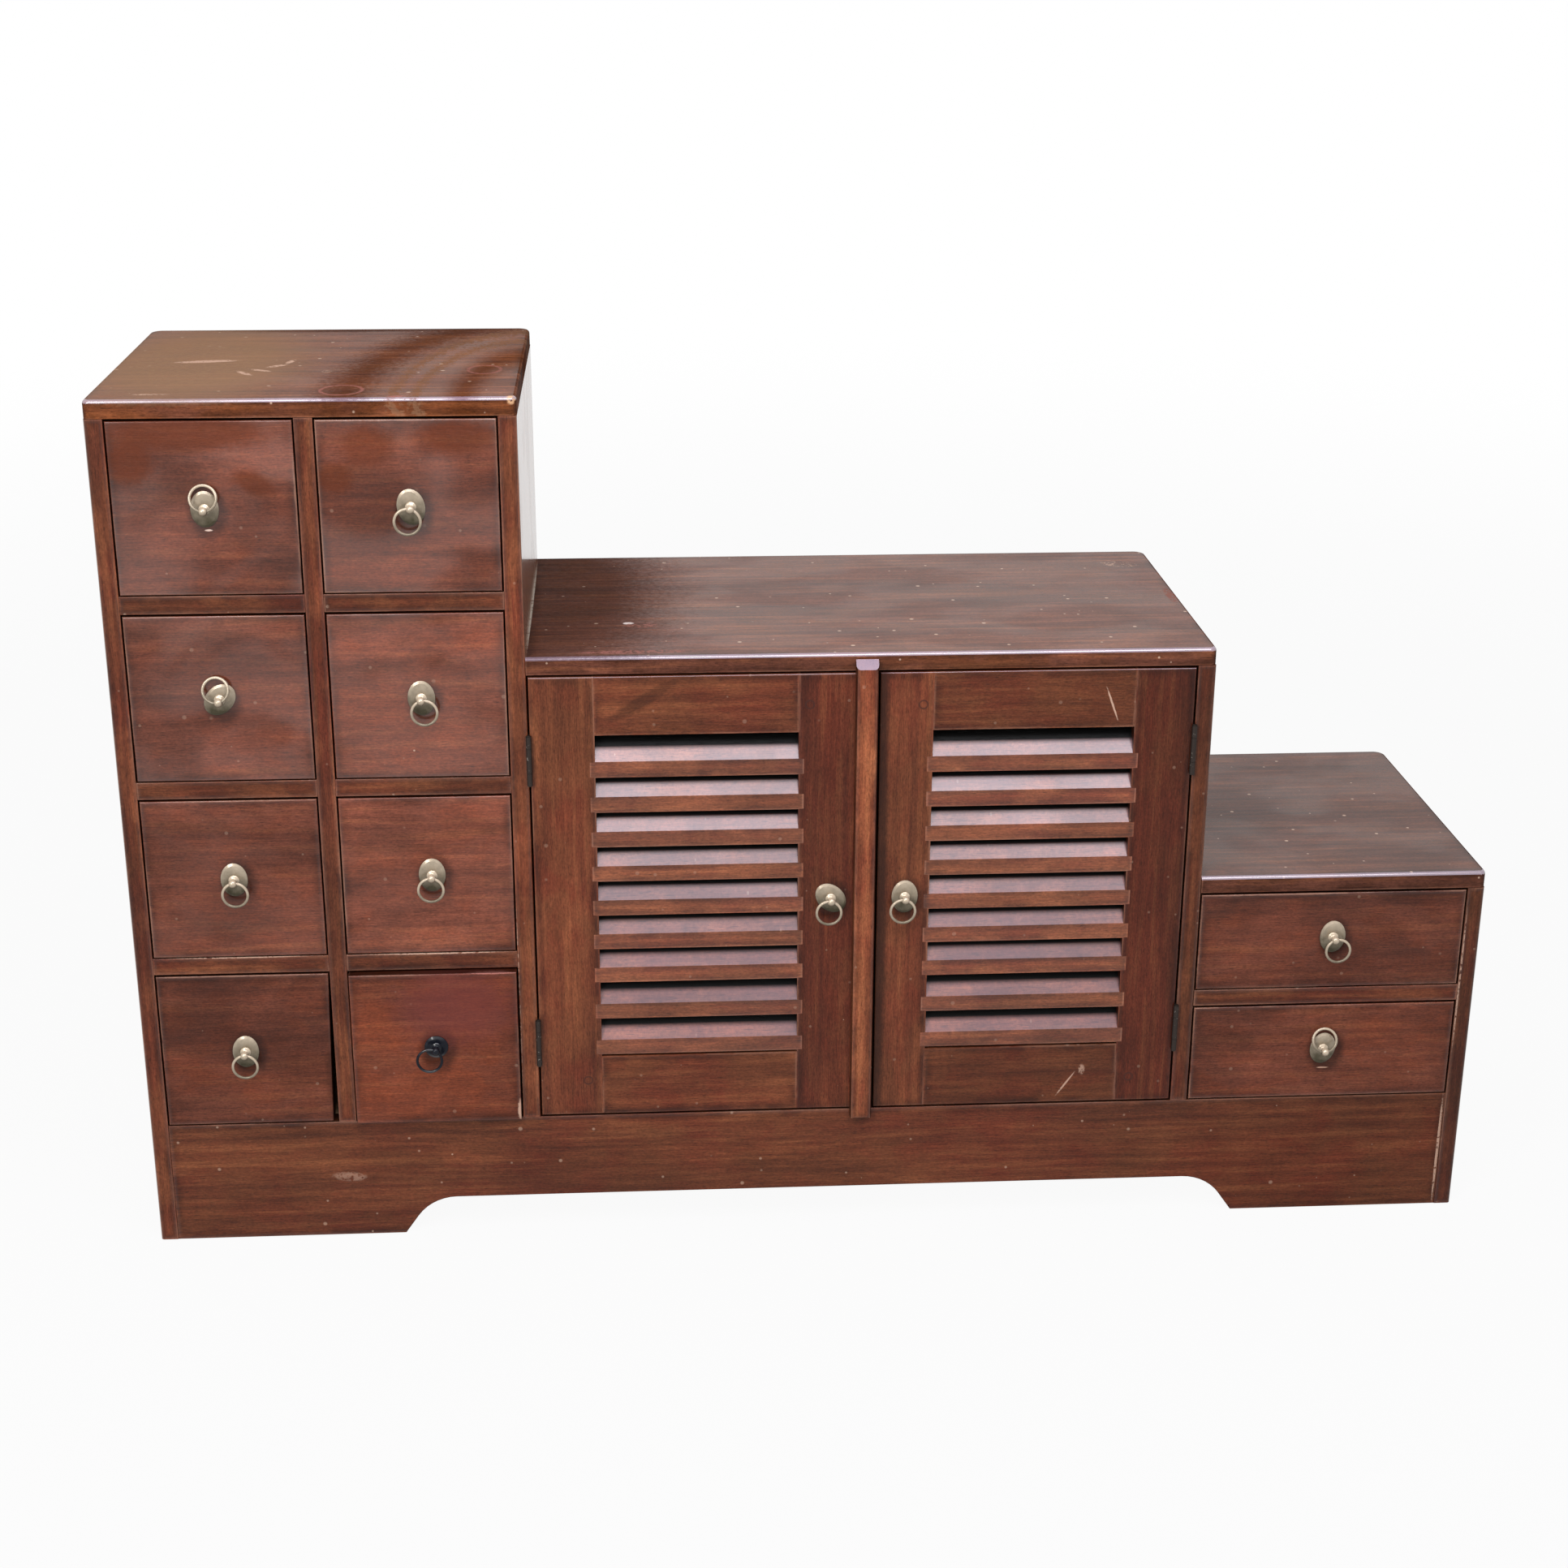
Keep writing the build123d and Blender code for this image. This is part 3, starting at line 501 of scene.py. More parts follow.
    # Relief, and the lacquer coat.
    height = streaks * 0.3 + fine * 0.35 - pores * 0.8 + fray * 0.25
    normal = f.bump(height, 0.1 * MM)
    waves = f.noise(place, (26, 40, 40), detail=1)
    normal = f.bump(waves, 0.6 * MM, strength=gloss["waves"], normal=normal)
    glint = edge.rise(*GLINT_WIDTH) * (1 - end_grain) * gloss["edge"]
    haze = 1 + (cloud.rise(0.36, 0.62) - 0.5) * gloss["patchy"]
    coat = (gloss["coat"] + shiny * gloss["shine"]) * haze + glint
    return f.surface(
        {
            "Base Color": colour,
            "Roughness": roughness,
            "Normal": normal,
            "Specular IOR Level": gloss["specular"],
            "Coat Weight": (coat * polish).clamped(),
            "Coat Roughness": gloss["coat_roughness"],
            "Coat IOR": gloss["coat_ior"],
        }
    )


def bare_wood(name, light, deep):
    """Unstained planed wood with a faint grain."""
    f = Finish.material(name)
    place, _, _ = board_place(f)
    figure = f.noise(place, (3, 40, 40), detail=3, distortion=0.8)
    streaks = f.noise(place, (9, 320, 320), detail=4, roughness=0.65)
    stain = f.noise(place, (7, 12, 12), detail=3)
    colour = f.mix(figure.rise(0.3, 0.7) * 0.5 + streaks.rise(0.4, 0.8) * 0.4, light, deep)
    colour = f.shade(colour, 0.8 + stain * 0.3)
    normal = f.bump(streaks + figure * 0.3, 0.2 * MM)
    return f.surface(
        {
            "Base Color": colour,
            "Roughness": 0.62 + streaks * 0.15,
            "Normal": normal,
            "Specular IOR Level": 0.35,
        }
    )


# ---- Metal -------------------------------------------------------------------------------------
def height_on_piece(f):
    """-1 at the foot of a plate, stem or ring, and 1 at its top."""
    return f.parts(f.attribute("board"))[0] / f.parts(f.attribute("board_half"))[0]


def aged_brass(name, bright, dull):
    """Brass gone grey-green: dull plates and rubbed balls and rings, each with painted light that
    pales it toward its top.
    """
    f = Finish.material(name)
    place, rubbed, light = board_place(f)
    up = height_on_piece(f)
    cloud = f.noise(place, (110, 110, 110), detail=2)
    fine = f.noise(place, (600, 600, 600), detail=2)
    # Painted light: each piece pales toward its top, besides its rubbed places and tarnish.
    shine = (rubbed + up * 0.5 + (cloud - 0.5) * 0.8).clamped()
    colour = f.mix(shine, rgb(dull), rgb(bright))
    colour = f.shade(colour, light * (0.8 + fine * 0.3 + up * 0.15))
    normal = f.bump(cloud * 0.7 + fine * 0.3, 0.1 * MM)
    return f.surface(
        {
            "Base Color": colour,
            "Metallic": 0.3,
            "Roughness": 0.42 - shine * 0.14,
            "Normal": normal,
            "Specular IOR Level": 0.2,
            "Coat Weight": shine * 0.3,
            "Coat Roughness": 0.12,
            "Coat IOR": 2.0,
        }
    )


def black_lacquer(name, colour, hazy):
    """Black painted metal, glossiest at the top and the foot of each piece."""
    f = Finish.material(name)
    place, rubbed, _ = board_place(f)
    up = height_on_piece(f)
    cloud = f.noise(place, (160, 160, 160), detail=2)
    shade = f.mix(cloud.rise(0.6, 0.75) * 0.4, rgb(colour), rgb(hazy))
    return f.surface(
        {
            "Base Color": shade,
            "Roughness": 0.3,
            "Normal": f.bump(cloud, 0.08 * MM),
            "Specular IOR Level": 0.15,
            "Coat Weight": (rubbed * 0.06 + abs(up).rise(0.5, 0.95) * 0.45).clamped(),
            "Coat Roughness": 0.1,
            "Coat IOR": 1.8,
        }
    )


def tarnished_steel(name, bright, dull):
    """Dark hinge steel, brighter where it is knocked."""
    f = Finish.material(name)
    where = f.object_place()
    cloud = f.noise(where, (300, 300, 300), detail=4, roughness=0.65)
    knocked = cloud.rise(0.62, 0.72)
    colour = f.mix(knocked, rgb(dull), rgb(bright))
    normal = f.bump(cloud, 0.15 * MM)
    return f.surface(
        {
            "Base Color": colour,
            "Metallic": 0.75,
            "Roughness": 0.5 - knocked * 0.15,
            "Normal": normal,
        }
    )


# ---- Settings ----------------------------------------------------------------------------------
def colour_property(name, description, default):
    return FloatVectorProperty(
        name=name, description=description, subtype="COLOR", min=0.0, max=1.0, default=default
    )


def share_property(name, description, default):
    return FloatProperty(
        name=name, description=description, subtype="FACTOR", min=0.0, max=1.0, default=default
    )


class StepChestCase(bpy.types.PropertyGroup):
    """Colours and gloss of the case, the fronts and the doors."""

    brown: colour_property("Brown", "Brown parts of the stain", (0.18, 0.054, 0.023))
    red: colour_property("Red", "Red parts of the stain", (0.165, 0.034, 0.016))
    light: colour_property("Light", "Light streaks of the grain", (0.3, 0.105, 0.042))
    dark: colour_property("Dark", "Dark bands of the figure", (0.05, 0.015, 0.009))
    front_brown: colour_property("Front brown", "Brown of the drawer fronts", (0.175, 0.052, 0.03))
    front_red: colour_property("Front red", "Red of the drawer fronts", (0.2, 0.045, 0.018))
    top_brown: colour_property("Top brown", "Brown of the step tops", (0.145, 0.05, 0.03))
    top_red: colour_property("Top red", "Red of the step tops", (0.16, 0.046, 0.014))
    worn: colour_property("Worn edge", "Edges that are rubbed thin", (0.34, 0.17, 0.11))
    pale: colour_property("Bare wood", "Chips that show bare wood", (0.72, 0.5, 0.36))
    # Sheen is a painted reflection: the sky on the slats' slopes and the strip's end, and a
    # highlight on the tops' rounded edges. Side sheen is a painted glare on the open broad sides.
    sheen: colour_property("Sheen", "Pale tone of the slats and rounded edges", (0.5, 0.38, 0.53))
    side_sheen: colour_property("Side sheen", "Pale tone of the broad sides", (0.85, 0.72, 0.42))
    roughness: share_property("Roughness", "Roughness under the lacquer", 0.42)
    coat: share_property("Lacquer", "Weight of the lacquer coat", 0.05)
    coat_roughness: share_property("Lacquer roughness", "Roughness of the lacquer coat", 0.16)


class StepChestInside(bpy.types.PropertyGroup):
    """Colours of the wood that was never stained."""

    light: colour_property("Light", "Light parts of the bare wood", (0.5, 0.33, 0.19))
    deep: colour_property("Deep", "Deep parts of the bare wood", (0.3, 0.17, 0.09))
    sheet_light: colour_property("Back light", "Light parts of the back panel", (0.27, 0.14, 0.08))
    sheet_deep: colour_property("Back deep", "Deep parts of the back panel", (0.15, 0.07, 0.04))


class StepChestMetal(bpy.types.PropertyGroup):
    """Colours of the pulls and the hinges."""

    brass_bright: colour_property("Rubbed brass", "Rubbed places of the brass", (0.52, 0.425, 0.31))
    brass_dull: colour_property("Dull brass", "Tarnished places of the brass", (0.085, 0.073, 0.042))
    black: colour_property("Black", "Black painted pull", (0.005, 0.006, 0.011))
    black_hazy: colour_property("Hazy black", "Hazy spots of the paint", (0.04, 0.045, 0.06))
    steel_bright: colour_property("Knocked steel", "Bright spots of the hinges", (0.4, 0.36, 0.32))
    steel_dull: colour_property("Dull steel", "Dark hinge steel", (0.035, 0.026, 0.022))


class StepChestStage(bpy.types.PropertyGroup):
    """Floor, lamps and camera."""

    floor: colour_property("Floor", "Colour of the floor", (0.5, 0.5, 0.5))
    whiteness: share_property("Floor whiteness", "How far the floor is lifted to white", 0.94)
    fill: share_property("Fill", "Strength of the even light", 0.36)
    key: FloatProperty(
        name="Key lamp", description="Power of the front lamp", unit="POWER", default=42.0
    )
    sky: FloatProperty(
        name="Top lamp", description="Power of the lamp overhead", unit="POWER", default=46.0
    )
    lens: FloatProperty(
        name="Lens", description="Focal length of the camera", unit="CAMERA", default=56.21
    )


SETTINGS = {
    "step_chest_case": StepChestCase,
    "step_chest_inside": StepChestInside,
    "step_chest_metal": StepChestMetal,
    "step_chest_stage": StepChestStage,
}


def dress(node, material):
    """Gives a node its material."""
    slots = NODES[node].data.materials
    slots.clear()
    slots.append(material)


def tones_of(case, brown, red, sheen):
    """The colours that stained_wood mixes."""
    return {
        "brown": rgb(brown),
        "red": rgb(red),
        "light": rgb(case.light),
        "dark": rgb(case.dark),
        "worn": rgb(case.worn),
        "pale": rgb(case.pale),
        "sheen": rgb(sheen),
    }


def gloss_of(case, **changes):
    """How a wood is lacquered and how it has aged, with what differs from the usual.

    Shine is the extra coat on glossy faces, the sheen a painted reflection there, and edge the coat
    on edges. Waves are how uneven the coat lies, patchy how much its weight varies, and uneven how
    much the tone does. Specks and dust are how pale they show. Wood with a pull gets dirt and a
    painted shadow around it. The glossy faces get painted shade between two places in depth, and are
    dull below the height covered_to.
    """
    gloss = {
        "roughness": case.roughness,
        "specular": 0.13,
        "coat": case.coat,
        "coat_roughness": case.coat_roughness,
        "coat_ior": 1.8,
        "shine": 0.0,
        "sheen": 0.0,
        "edge": 0.15,
        "waves": 0.5,
        "specks": 0.8,
        "dust": 0.15,
        "grain": 1.0,
        "patchy": 0.25,
        "uneven": 0.2,
        "handled": False,
        "shaded": None,
        "covered_to": 0.0,
    }
    return gloss | changes


# ---- Places, in metres -------------------------------------------------------------------------
# The upper faces of the three step tops, which lie on the panels.
BOARD_THICKNESS = 17 * MM
TOWER_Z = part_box("tower_right_panel")[1].z + BOARD_THICKNESS
MIDDLE_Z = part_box("middle_right_panel")[1].z + BOARD_THICKNESS
LOW_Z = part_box("right_side_panel")[1].z + BOARD_THICKNESS
ABOVE_MIDDLE = (TOWER_Z + MIDDLE_Z) / 2
ABOVE_LOW = (MIDDLE_Z + LOW_Z) / 2
# The case's front face, and that of the drawer that stands out.
FACE_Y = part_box("plinth_board")[0].y
PROUD_FACE_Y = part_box("tower_drawer_8_front")[0].y
# The doors: their meeting edges, their louvres, and the depths between which the slats' slopes get
# painted shade under the slat above.
MEETING_X = 0.054
LEFT_LOUVRE = (-0.211, -0.02)
RIGHT_LOUVRE = (0.105, 0.296)
LOUVRE_HEIGHTS = (0.19, 0.521)
SLAT_HEIGHT = 17.7 * MM
SLAT_SHADE = (FACE_Y + 4.75 * MM, FACE_Y + 9.75 * MM)
SHORTEST_STILE = 0.3
THICKEST_PLATE = 3 * MM
# Drawer fronts below the first height have no shine, and those above the second have all of it.
FRONT_SHINE_HEIGHTS = (0.28, 0.64)

# ---- Marks of wear, painted shadows and painted reflections, in metres -------------------------
FLAKE = (0.62, 0.4, 0.29)
PINK = (0.42, 0.16, 0.13)
REFLECTION_OLIVE = (0.35, 0.215, 0.13)
DARKEST_BROWN = (0.03, 0.014, 0.01)
TOP_MARKS = (
    # The first five washes are a painted reflection on the tower's top: a lighter olive left half,
    # then dark and olive arcs.
    Wash((-0.575, 0.01, TOWER_Z), (0.135, 0.26, 0.01), REFLECTION_OLIVE, 0.75, broken=1.1),
    Wash((-0.26, -0.17, TOWER_Z), (0.165, 0.38, 0.05), DARKEST_BROWN, 0.32, ring=0.26),
    Wash((-0.27, -0.17, TOWER_Z), (0.112, 0.33, 0.05), REFLECTION_OLIVE, 0.34, ring=0.06),
    Wash((-0.27, -0.17, TOWER_Z), (0.092, 0.28, 0.05), REFLECTION_OLIVE, 0.36, ring=0.08),
    Wash((-0.27, -0.17, TOWER_Z), (0.05, 0.2, 0.05), DARKEST_BROWN, 0.2, ring=0.5),
    # Darker along the back edge of the tower's top.
    Wash((-0.46, 0.19, TOWER_Z), (0.2, 0.03, 0.05), DARKEST_BROWN, 0.4),
    Mark((-0.569, 0.014, TOWER_Z), (0.034, 0.007, 0.004), FLAKE, 1.0, (0, 0, 8), broken=0.38),
    Mark((-0.5255, -0.046, TOWER_Z), (0.004, 0.017, 0.004), FLAKE, 1.0, (0, 0, 35), broken=0.47),
    Mark((-0.513, -0.032, TOWER_Z), (0.015, 0.004, 0.004), FLAKE, 1.0, (0, 0, -30), broken=0.47),
    Mark((-0.5, -0.011, TOWER_Z), (0.014, 0.005, 0.004), FLAKE, 1.0, (0, 0, 40), broken=0.47),
    Mark((-0.49, 0.01, TOWER_Z), (0.013, 0.004, 0.004), FLAKE, 1.0, (0, 0, 75), broken=0.47),
    Mark((-0.451, -0.04, TOWER_Z), (0.006, 0.006, 0.004), FLAKE, 0.6, (0, 0, 20), broken=0.52),
    Mark((-0.594, -0.141, TOWER_Z), (0.02, 0.004, 0.004), FLAKE, 0.7, broken=0.5),
    Mark((-0.4285, -0.128, TOWER_Z), (0.0185, 0.022, 0.01), PINK, 0.6, ring=0.13, broken=0.4),
    Mark((-0.3063, -0.036, TOWER_Z), (0.015, 0.02, 0.01), PINK, 0.5, ring=0.16, broken=0.4),
    Mark((-0.377, -0.158, TOWER_Z), (0.011, 0.005, 0.004), PINK, 0.8),
    Mark((-0.277, -0.162, TOWER_Z - 0.003), (0.005, 0.005, 0.006), (0.75, 0.45, 0.25), 0.9),
    # Painted shade and dark reflection beside the tower, on the middle top.
    Wash((-0.265, 0.04, MIDDLE_Z), (0.17, 0.42, 0.02), DARKEST_BROWN, 0.46, broken=0.2),
    Mark((-0.2712, 0.01, MIDDLE_Z), (0.0012, 0.17, 0.004), (0.6, 0.55, 0.45), 0.7, broken=0.42),
    Mark((-0.1775, -0.0575, MIDDLE_Z), (0.006, 0.004, 0.004), (0.8, 0.7, 0.65), 0.9, broken=0.35),
    Mark((-0.17, -0.15, MIDDLE_Z), (0.07, 0.007, 0.006), PINK, 0.6, broken=0.5),
    Mark((0.333, 0.134, MIDDLE_Z), (0.026, 0.014, 0.004), FLAKE, 0.9, (0, 0, -20), broken=0.58),
    Mark((0.363, 0.014, MIDDLE_Z), (0.006, 0.032, 0.006), (0.3, 0.08, 0.05), 0.6),
    Mark((-0.165, -0.0635, MIDDLE_Z), (0.02, 0.012, 0.004), PINK, 0.5, broken=0.55),
)
PEG = (0.05, 0.02, 0.015)
DOOR_MARKS = (
    Mark((-0.2244, FACE_Y, 0.1644), (0.004, 0.004, 0.004), PEG, 0.7, ring=0.3, broken=0.3),
    Mark((0.3093, FACE_Y, 0.1538), (0.004, 0.004, 0.004), PEG, 0.7, ring=0.3, broken=0.3),
    Mark((-0.0103, FACE_Y, 0.548), (0.004, 0.004, 0.004), PEG, 0.7, ring=0.3, broken=0.3),
    Mark((0.0958, FACE_Y, 0.5462), (0.004, 0.004, 0.004), PEG, 0.7, ring=0.3, broken=0.3),
    Mark((0.2735, FACE_Y, 0.544), (0.0011, 0.004, 0.02), FLAKE, 0.9, (0, -20, 0), broken=0.3),
    Mark((0.2465, FACE_Y, 0.148), (0.0012, 0.004, 0.018), FLAKE, 0.8, (0, 35, 0), broken=0.42),
    Mark((0.262, FACE_Y, 0.163), (0.004, 0.004, 0.007), FLAKE, 0.6, broken=0.5),
    # Painted shadow of the meeting strip on the right door.
    Wash((0.057, FACE_Y, 0.353), (0.011, 0.01, 0.5), DARKEST_BROWN, 0.75),
    # A dark streak of the figure on the left door's top rail.
    Wash((-0.165, FACE_Y, 0.554), (0.052, 0.01, 0.008), DARKEST_BROWN, 0.5, turn=(0, -31, 0)),
)
PLINTH_MARKS = (
    Wash((0.55, FACE_Y, 0.06), (0.3, 0.01, 0.12), DARKEST_BROWN, 0.16),
    Mark((-0.461, FACE_Y, 0.065), (0.02, 0.004, 0.006), FLAKE, 0.36, (0, 4, 0), broken=0.45),
    Mark((0.6305, FACE_Y, 0.062), (0.0016, 0.006, 0.07), FLAKE, 0.8, broken=0.42),
)
RED_BROWN = (0.13, 0.034, 0.015)
PLUM = (0.165, 0.041, 0.038)
EDGE_CHIPS = (
    Mark((-0.551, FACE_Y, 0.3045), (0.08, 0.006, 0.002), FLAKE, 0.8, broken=0.46),
    Mark((-0.367, FACE_Y, 0.3045), (0.08, 0.006, 0.0022), FLAKE, 0.9, broken=0.42),
)
UPRIGHT_MARKS = (
    Mark((0.6345, FACE_Y, 0.25), (0.0012, 0.006, 0.09), FLAKE, 0.7, broken=0.48),
    Mark((-0.2885, FACE_Y, 0.25), (0.0012, 0.006, 0.12), FLAKE, 0.5, broken=0.52),
)
FRONT_MARKS = (
    Wash((-0.56, FACE_Y, 0.809), (0.1, 0.01, 0.024), RED_BROWN, 0.6),
    Wash((-0.612, FACE_Y, 0.784), (0.028, 0.01, 0.03), RED_BROWN, 0.55),
    Wash((-0.505, FACE_Y, 0.762), (0.026, 0.01, 0.013), RED_BROWN, 0.55, turn=(0, 25, 0)),
    Wash((-0.405, FACE_Y, 0.795), (0.034, 0.01, 0.026), RED_BROWN, 0.5),
    Wash((-0.435, FACE_Y, 0.767), (0.022, 0.01, 0.02), RED_BROWN, 0.55),
    Wash((-0.325, FACE_Y, 0.803), (0.05, 0.01, 0.022), RED_BROWN, 0.55),
    Wash((-0.35, FACE_Y, 0.25), (0.085, 0.02, 0.06), PLUM, 0.6),
    Mark((-0.5485, FACE_Y, 0.7205), (0.004, 0.004, 0.0012), (0.8, 0.6, 0.5), 0.9, broken=0.3),
    Mark((0.504, FACE_Y, 0.1583), (0.007, 0.004, 0.001), (0.7, 0.42, 0.3), 0.7, broken=0.3),
    Mark((-0.2905, PROUD_FACE_Y, 0.138), (0.0035, 0.006, 0.013), FLAKE, 0.9, broken=0.35),
    Mark((-0.315, PROUD_FACE_Y, 0.285), (0.028, 0.006, 0.0016), PINK, 0.8, broken=0.4),
)

# ---- Looks: how red and how light each board is ------------------------------------------------
FRONT_LOOKS = {
    "tower_drawer_1": (0.6, 0.9),
    "tower_drawer_2": (0.75, 0.95),
    "tower_drawer_3": (0.45, 0.92),
    "tower_drawer_4": (0.6, 1.08),
    "tower_drawer_5": (0.4, 0.9),
    "tower_drawer_6": (0.45, 1.15),
    "tower_drawer_7": (0.35, 0.79),
    "tower_drawer_8": (0.8, 0.97),
    "low_drawer_1": (0.35, 0.8),
    "low_drawer_2": (0.4, 0.9),
}
# An upright's look, which way its open side faces (-1 is left) and up to what height it is covered.
UPRIGHTS = {
    "left_side_panel": ((0.4, 1.03), -1, 0.0),
    "tower_divider": ((0.55, 1.0), 0, 0.0),
    "tower_right_panel": ((0.4, 1.16), 1, MIDDLE_Z),
    "middle_right_panel": ((0.35, 0.74), 1, LOW_Z),
    "right_side_panel": ((0.35, 0.68), 1, 0.0),
}


def door_look(board):
    """Plum stiles at the left door's meeting edge and the right door's hinges, paler slats."""
    x = board.centre[0]
    if board.size[2] < TALLEST_SLAT:
        return (0.3, 1.47)
    if board.size[2] < SHORTEST_STILE:
        return (0.35, 0.97 if x < MEETING_X else 0.72)
    if LEFT_LOUVRE[1] < x < MEETING_X:
        return (1.1, 0.8)
    if x > RIGHT_LOUVRE[1]:
        return (1.1, 0.64)
    return (0.35, 1.03)


def top_look(board):
    """The tower's top is redder than the lower ones, and the lowest is darkest."""
    if board.centre[2] > ABOVE_MIDDLE:
        return (0.9, 1.22)
    return (0.25, 1.15 if board.centre[2] > ABOVE_LOW else 0.85)


def pull_look(board):
    """A dull plate, and a stem with a ball that fingers have rubbed."""
    return (0.42, 0.95) if board.size[1] < THICKEST_PLATE else (0.8, 1.15)


def ring_look(board):
    """Rings are rubbed bright."""
    return (0.8, 1.0)


# ---- Masks for faces, as pairs: in a gap, where shade is painted, and glossy -------------------
def rail_faces(normals, centres):
    """Everything but the front face looks into a gap."""
    return np.abs(normals[:, 1]) < 0.5, np.zeros(len(normals))


def front_faces(normals, centres):
    """Everything but the front face looks into a gap, and the higher fronts shine more."""
    gap = np.abs(normals[:, 1]) < 0.5
    low, high = FRONT_SHINE_HEIGHTS
    return gap, np.clip((centres[:, 2].mean() - low) / (high - low), 0, 1) * ~gap


def side_faces(open_side):
    """The open broad side of an upright is glossy, with a faint painted glare, and the others look
    into a gap.
    """

    def faces(normals, centres):
        glossy = normals[:, 0] * open_side > 0.7
        return (np.abs(normals[:, 0]) > 0.7) & ~glossy, glossy

    return faces


def plinth_faces(normals, centres):
    """The plinth's upper edge looks into the gap under the drawers and doors."""
    return normals[:, 2] > 0.7, np.zeros(len(normals))


def top_faces(normals, centres):
    """The upper faces are a little glossy, the tower's least, and their rounded edges most, with a
    painted highlight.
    """
    flat = normals[:, 2] > 0.99
    edge = ~flat & (normals[:, 2] > 0.15) & (normals[:, 1] < 0)
    glossy = np.where(centres[:, 2] > ABOVE_MIDDLE, 0.2, 0.38) * flat + edge
    return normals[:, 2] < -0.7, glossy


def between(values, limits):
    return (values > limits[0]) & (values < limits[1])


def slope_faces(normals, centres):
    """The slats' slopes are glossy, with a painted reflection and painted shade under the slat
    above, and their undersides and the upright edges look into gaps, where shade is painted.

    The slats' front faces are half as glossy.
    """
    slope = (normals[:, 2] > 0.4) & (normals[:, 1] < -0.5)
    x, z = centres[:, 0], centres[:, 2]
    across = between(x, LEFT_LOUVRE) | between(x, RIGHT_LOUVRE)
    band = across & between(z, LOUVRE_HEIGHTS) & (normals[:, 1] < -0.7)
    return (normals[:, 2] < -0.7) | (np.abs(normals[:, 0]) > 0.7), slope + band * 0.5


# ---- Operators ---------------------------------------------------------------------------------
DOORS = ("left_door", "right_door")
BLACK_PULL_ON = "tower_drawer_8"
HINGE_PARTS = ("hinge_case_leaves", "left_door_hinge_leaves", "right_door_hinge_leaves")


class STEPCHEST_OT_case(bpy.types.Operator):
    """Stain the case: side panels, uprights, rails, plinth and step tops"""

    bl_idname = "stepchest.case"
    bl_label = "Finish the Case"

    def execute(self, context):
        case = context.scene.step_chest_case
        tones = tones_of(case, case.brown, case.red, case.side_sheen)
        for node, (look, open_side, covered_to) in UPRIGHTS.items():
            gloss = gloss_of(case, shine=0.95, sheen=0.06, covered_to=covered_to)
            wood = stained_wood(f"stained_{node}", tones, gloss, marks=UPRIGHT_MARKS)
            lay_out_boards(node, grain=2, look=lambda board: look, faces=side_faces(open_side))
            dress(node, wood)
        rails = stained_wood("stained_rails", tones, gloss_of(case, specks=0.3), marks=EDGE_CHIPS)
        lay_out_boards("drawer_rails", look=lambda board: (0.5, 0.78), faces=rail_faces)
        dress("drawer_rails", rails)
        gloss = gloss_of(case, dust=0.35)
        plinth = stained_wood("stained_plinth", tones, gloss, marks=PLINTH_MARKS)
        look = (0.4, 0.84)
        lay_out_boards("plinth_board", grain=0, look=lambda board: look, faces=plinth_faces)
        dress("plinth_board", plinth)
        top_tones = tones_of(case, case.top_brown, case.top_red, case.sheen)
        gloss = gloss_of(
            case,
            specular=0.0,
            coat_ior=2.4,
            shine=1.0,
            sheen=0.42,
            edge=0.0,
            waves=0.8,
            specks=1.0,
            dust=0.75,
            patchy=0.3,
        )
        tops = stained_wood("stained_tops", top_tones, gloss, marks=TOP_MARKS)
        lay_out_boards("step_tops", grain=0, look=top_look, faces=top_faces)
        dress("step_tops", tops)
        inside = context.scene.step_chest_inside
        lay_out_boards("bottom_board", grain=0)
        dress("bottom_board", bare_wood("bare_bottom", rgb(inside.light), rgb(inside.deep)))
        lay_out_boards("back_panel", grain=0)
        sheet = bare_wood("stained_sheet", rgb(inside.sheet_light), rgb(inside.sheet_deep))
        dress("back_panel", sheet)
        return {"FINISHED"}


class STEPCHEST_OT_drawers(bpy.types.Operator):
    """Stain the drawer fronts and give the boxes their bare wood"""

    bl_idname = "stepchest.drawers"
    bl_label = "Finish the Drawers"

    def execute(self, context):
        case = context.scene.step_chest_case
        tones = tones_of(case, case.front_brown, case.front_red, case.sheen)
        gloss = gloss_of(
            case,
            shine=0.42,
            edge=0.17,
            waves=0.7,
            grain=0.6,
            patchy=1.2,
            uneven=0.42,
            handled=True,
        )
        fronts = stained_wood("stained_fronts", tones, gloss, marks=FRONT_MARKS, wear=1.0)
        inside = context.scene.step_chest_inside
        box = bare_wood("bare_boxes", rgb(inside.light), rgb(inside.deep))
        for drawer, look in FRONT_LOOKS.items():
            front = f"{drawer}_front"
            lay_out_boards(front, grain=0, look=lambda board: look, faces=front_faces)
            measure_from_pull(front, f"{drawer}_pull")
            dress(front, fronts)
            lay_out_boards(f"{drawer}_box")
            dress(f"{drawer}_box", box)
        return {"FINISHED"}


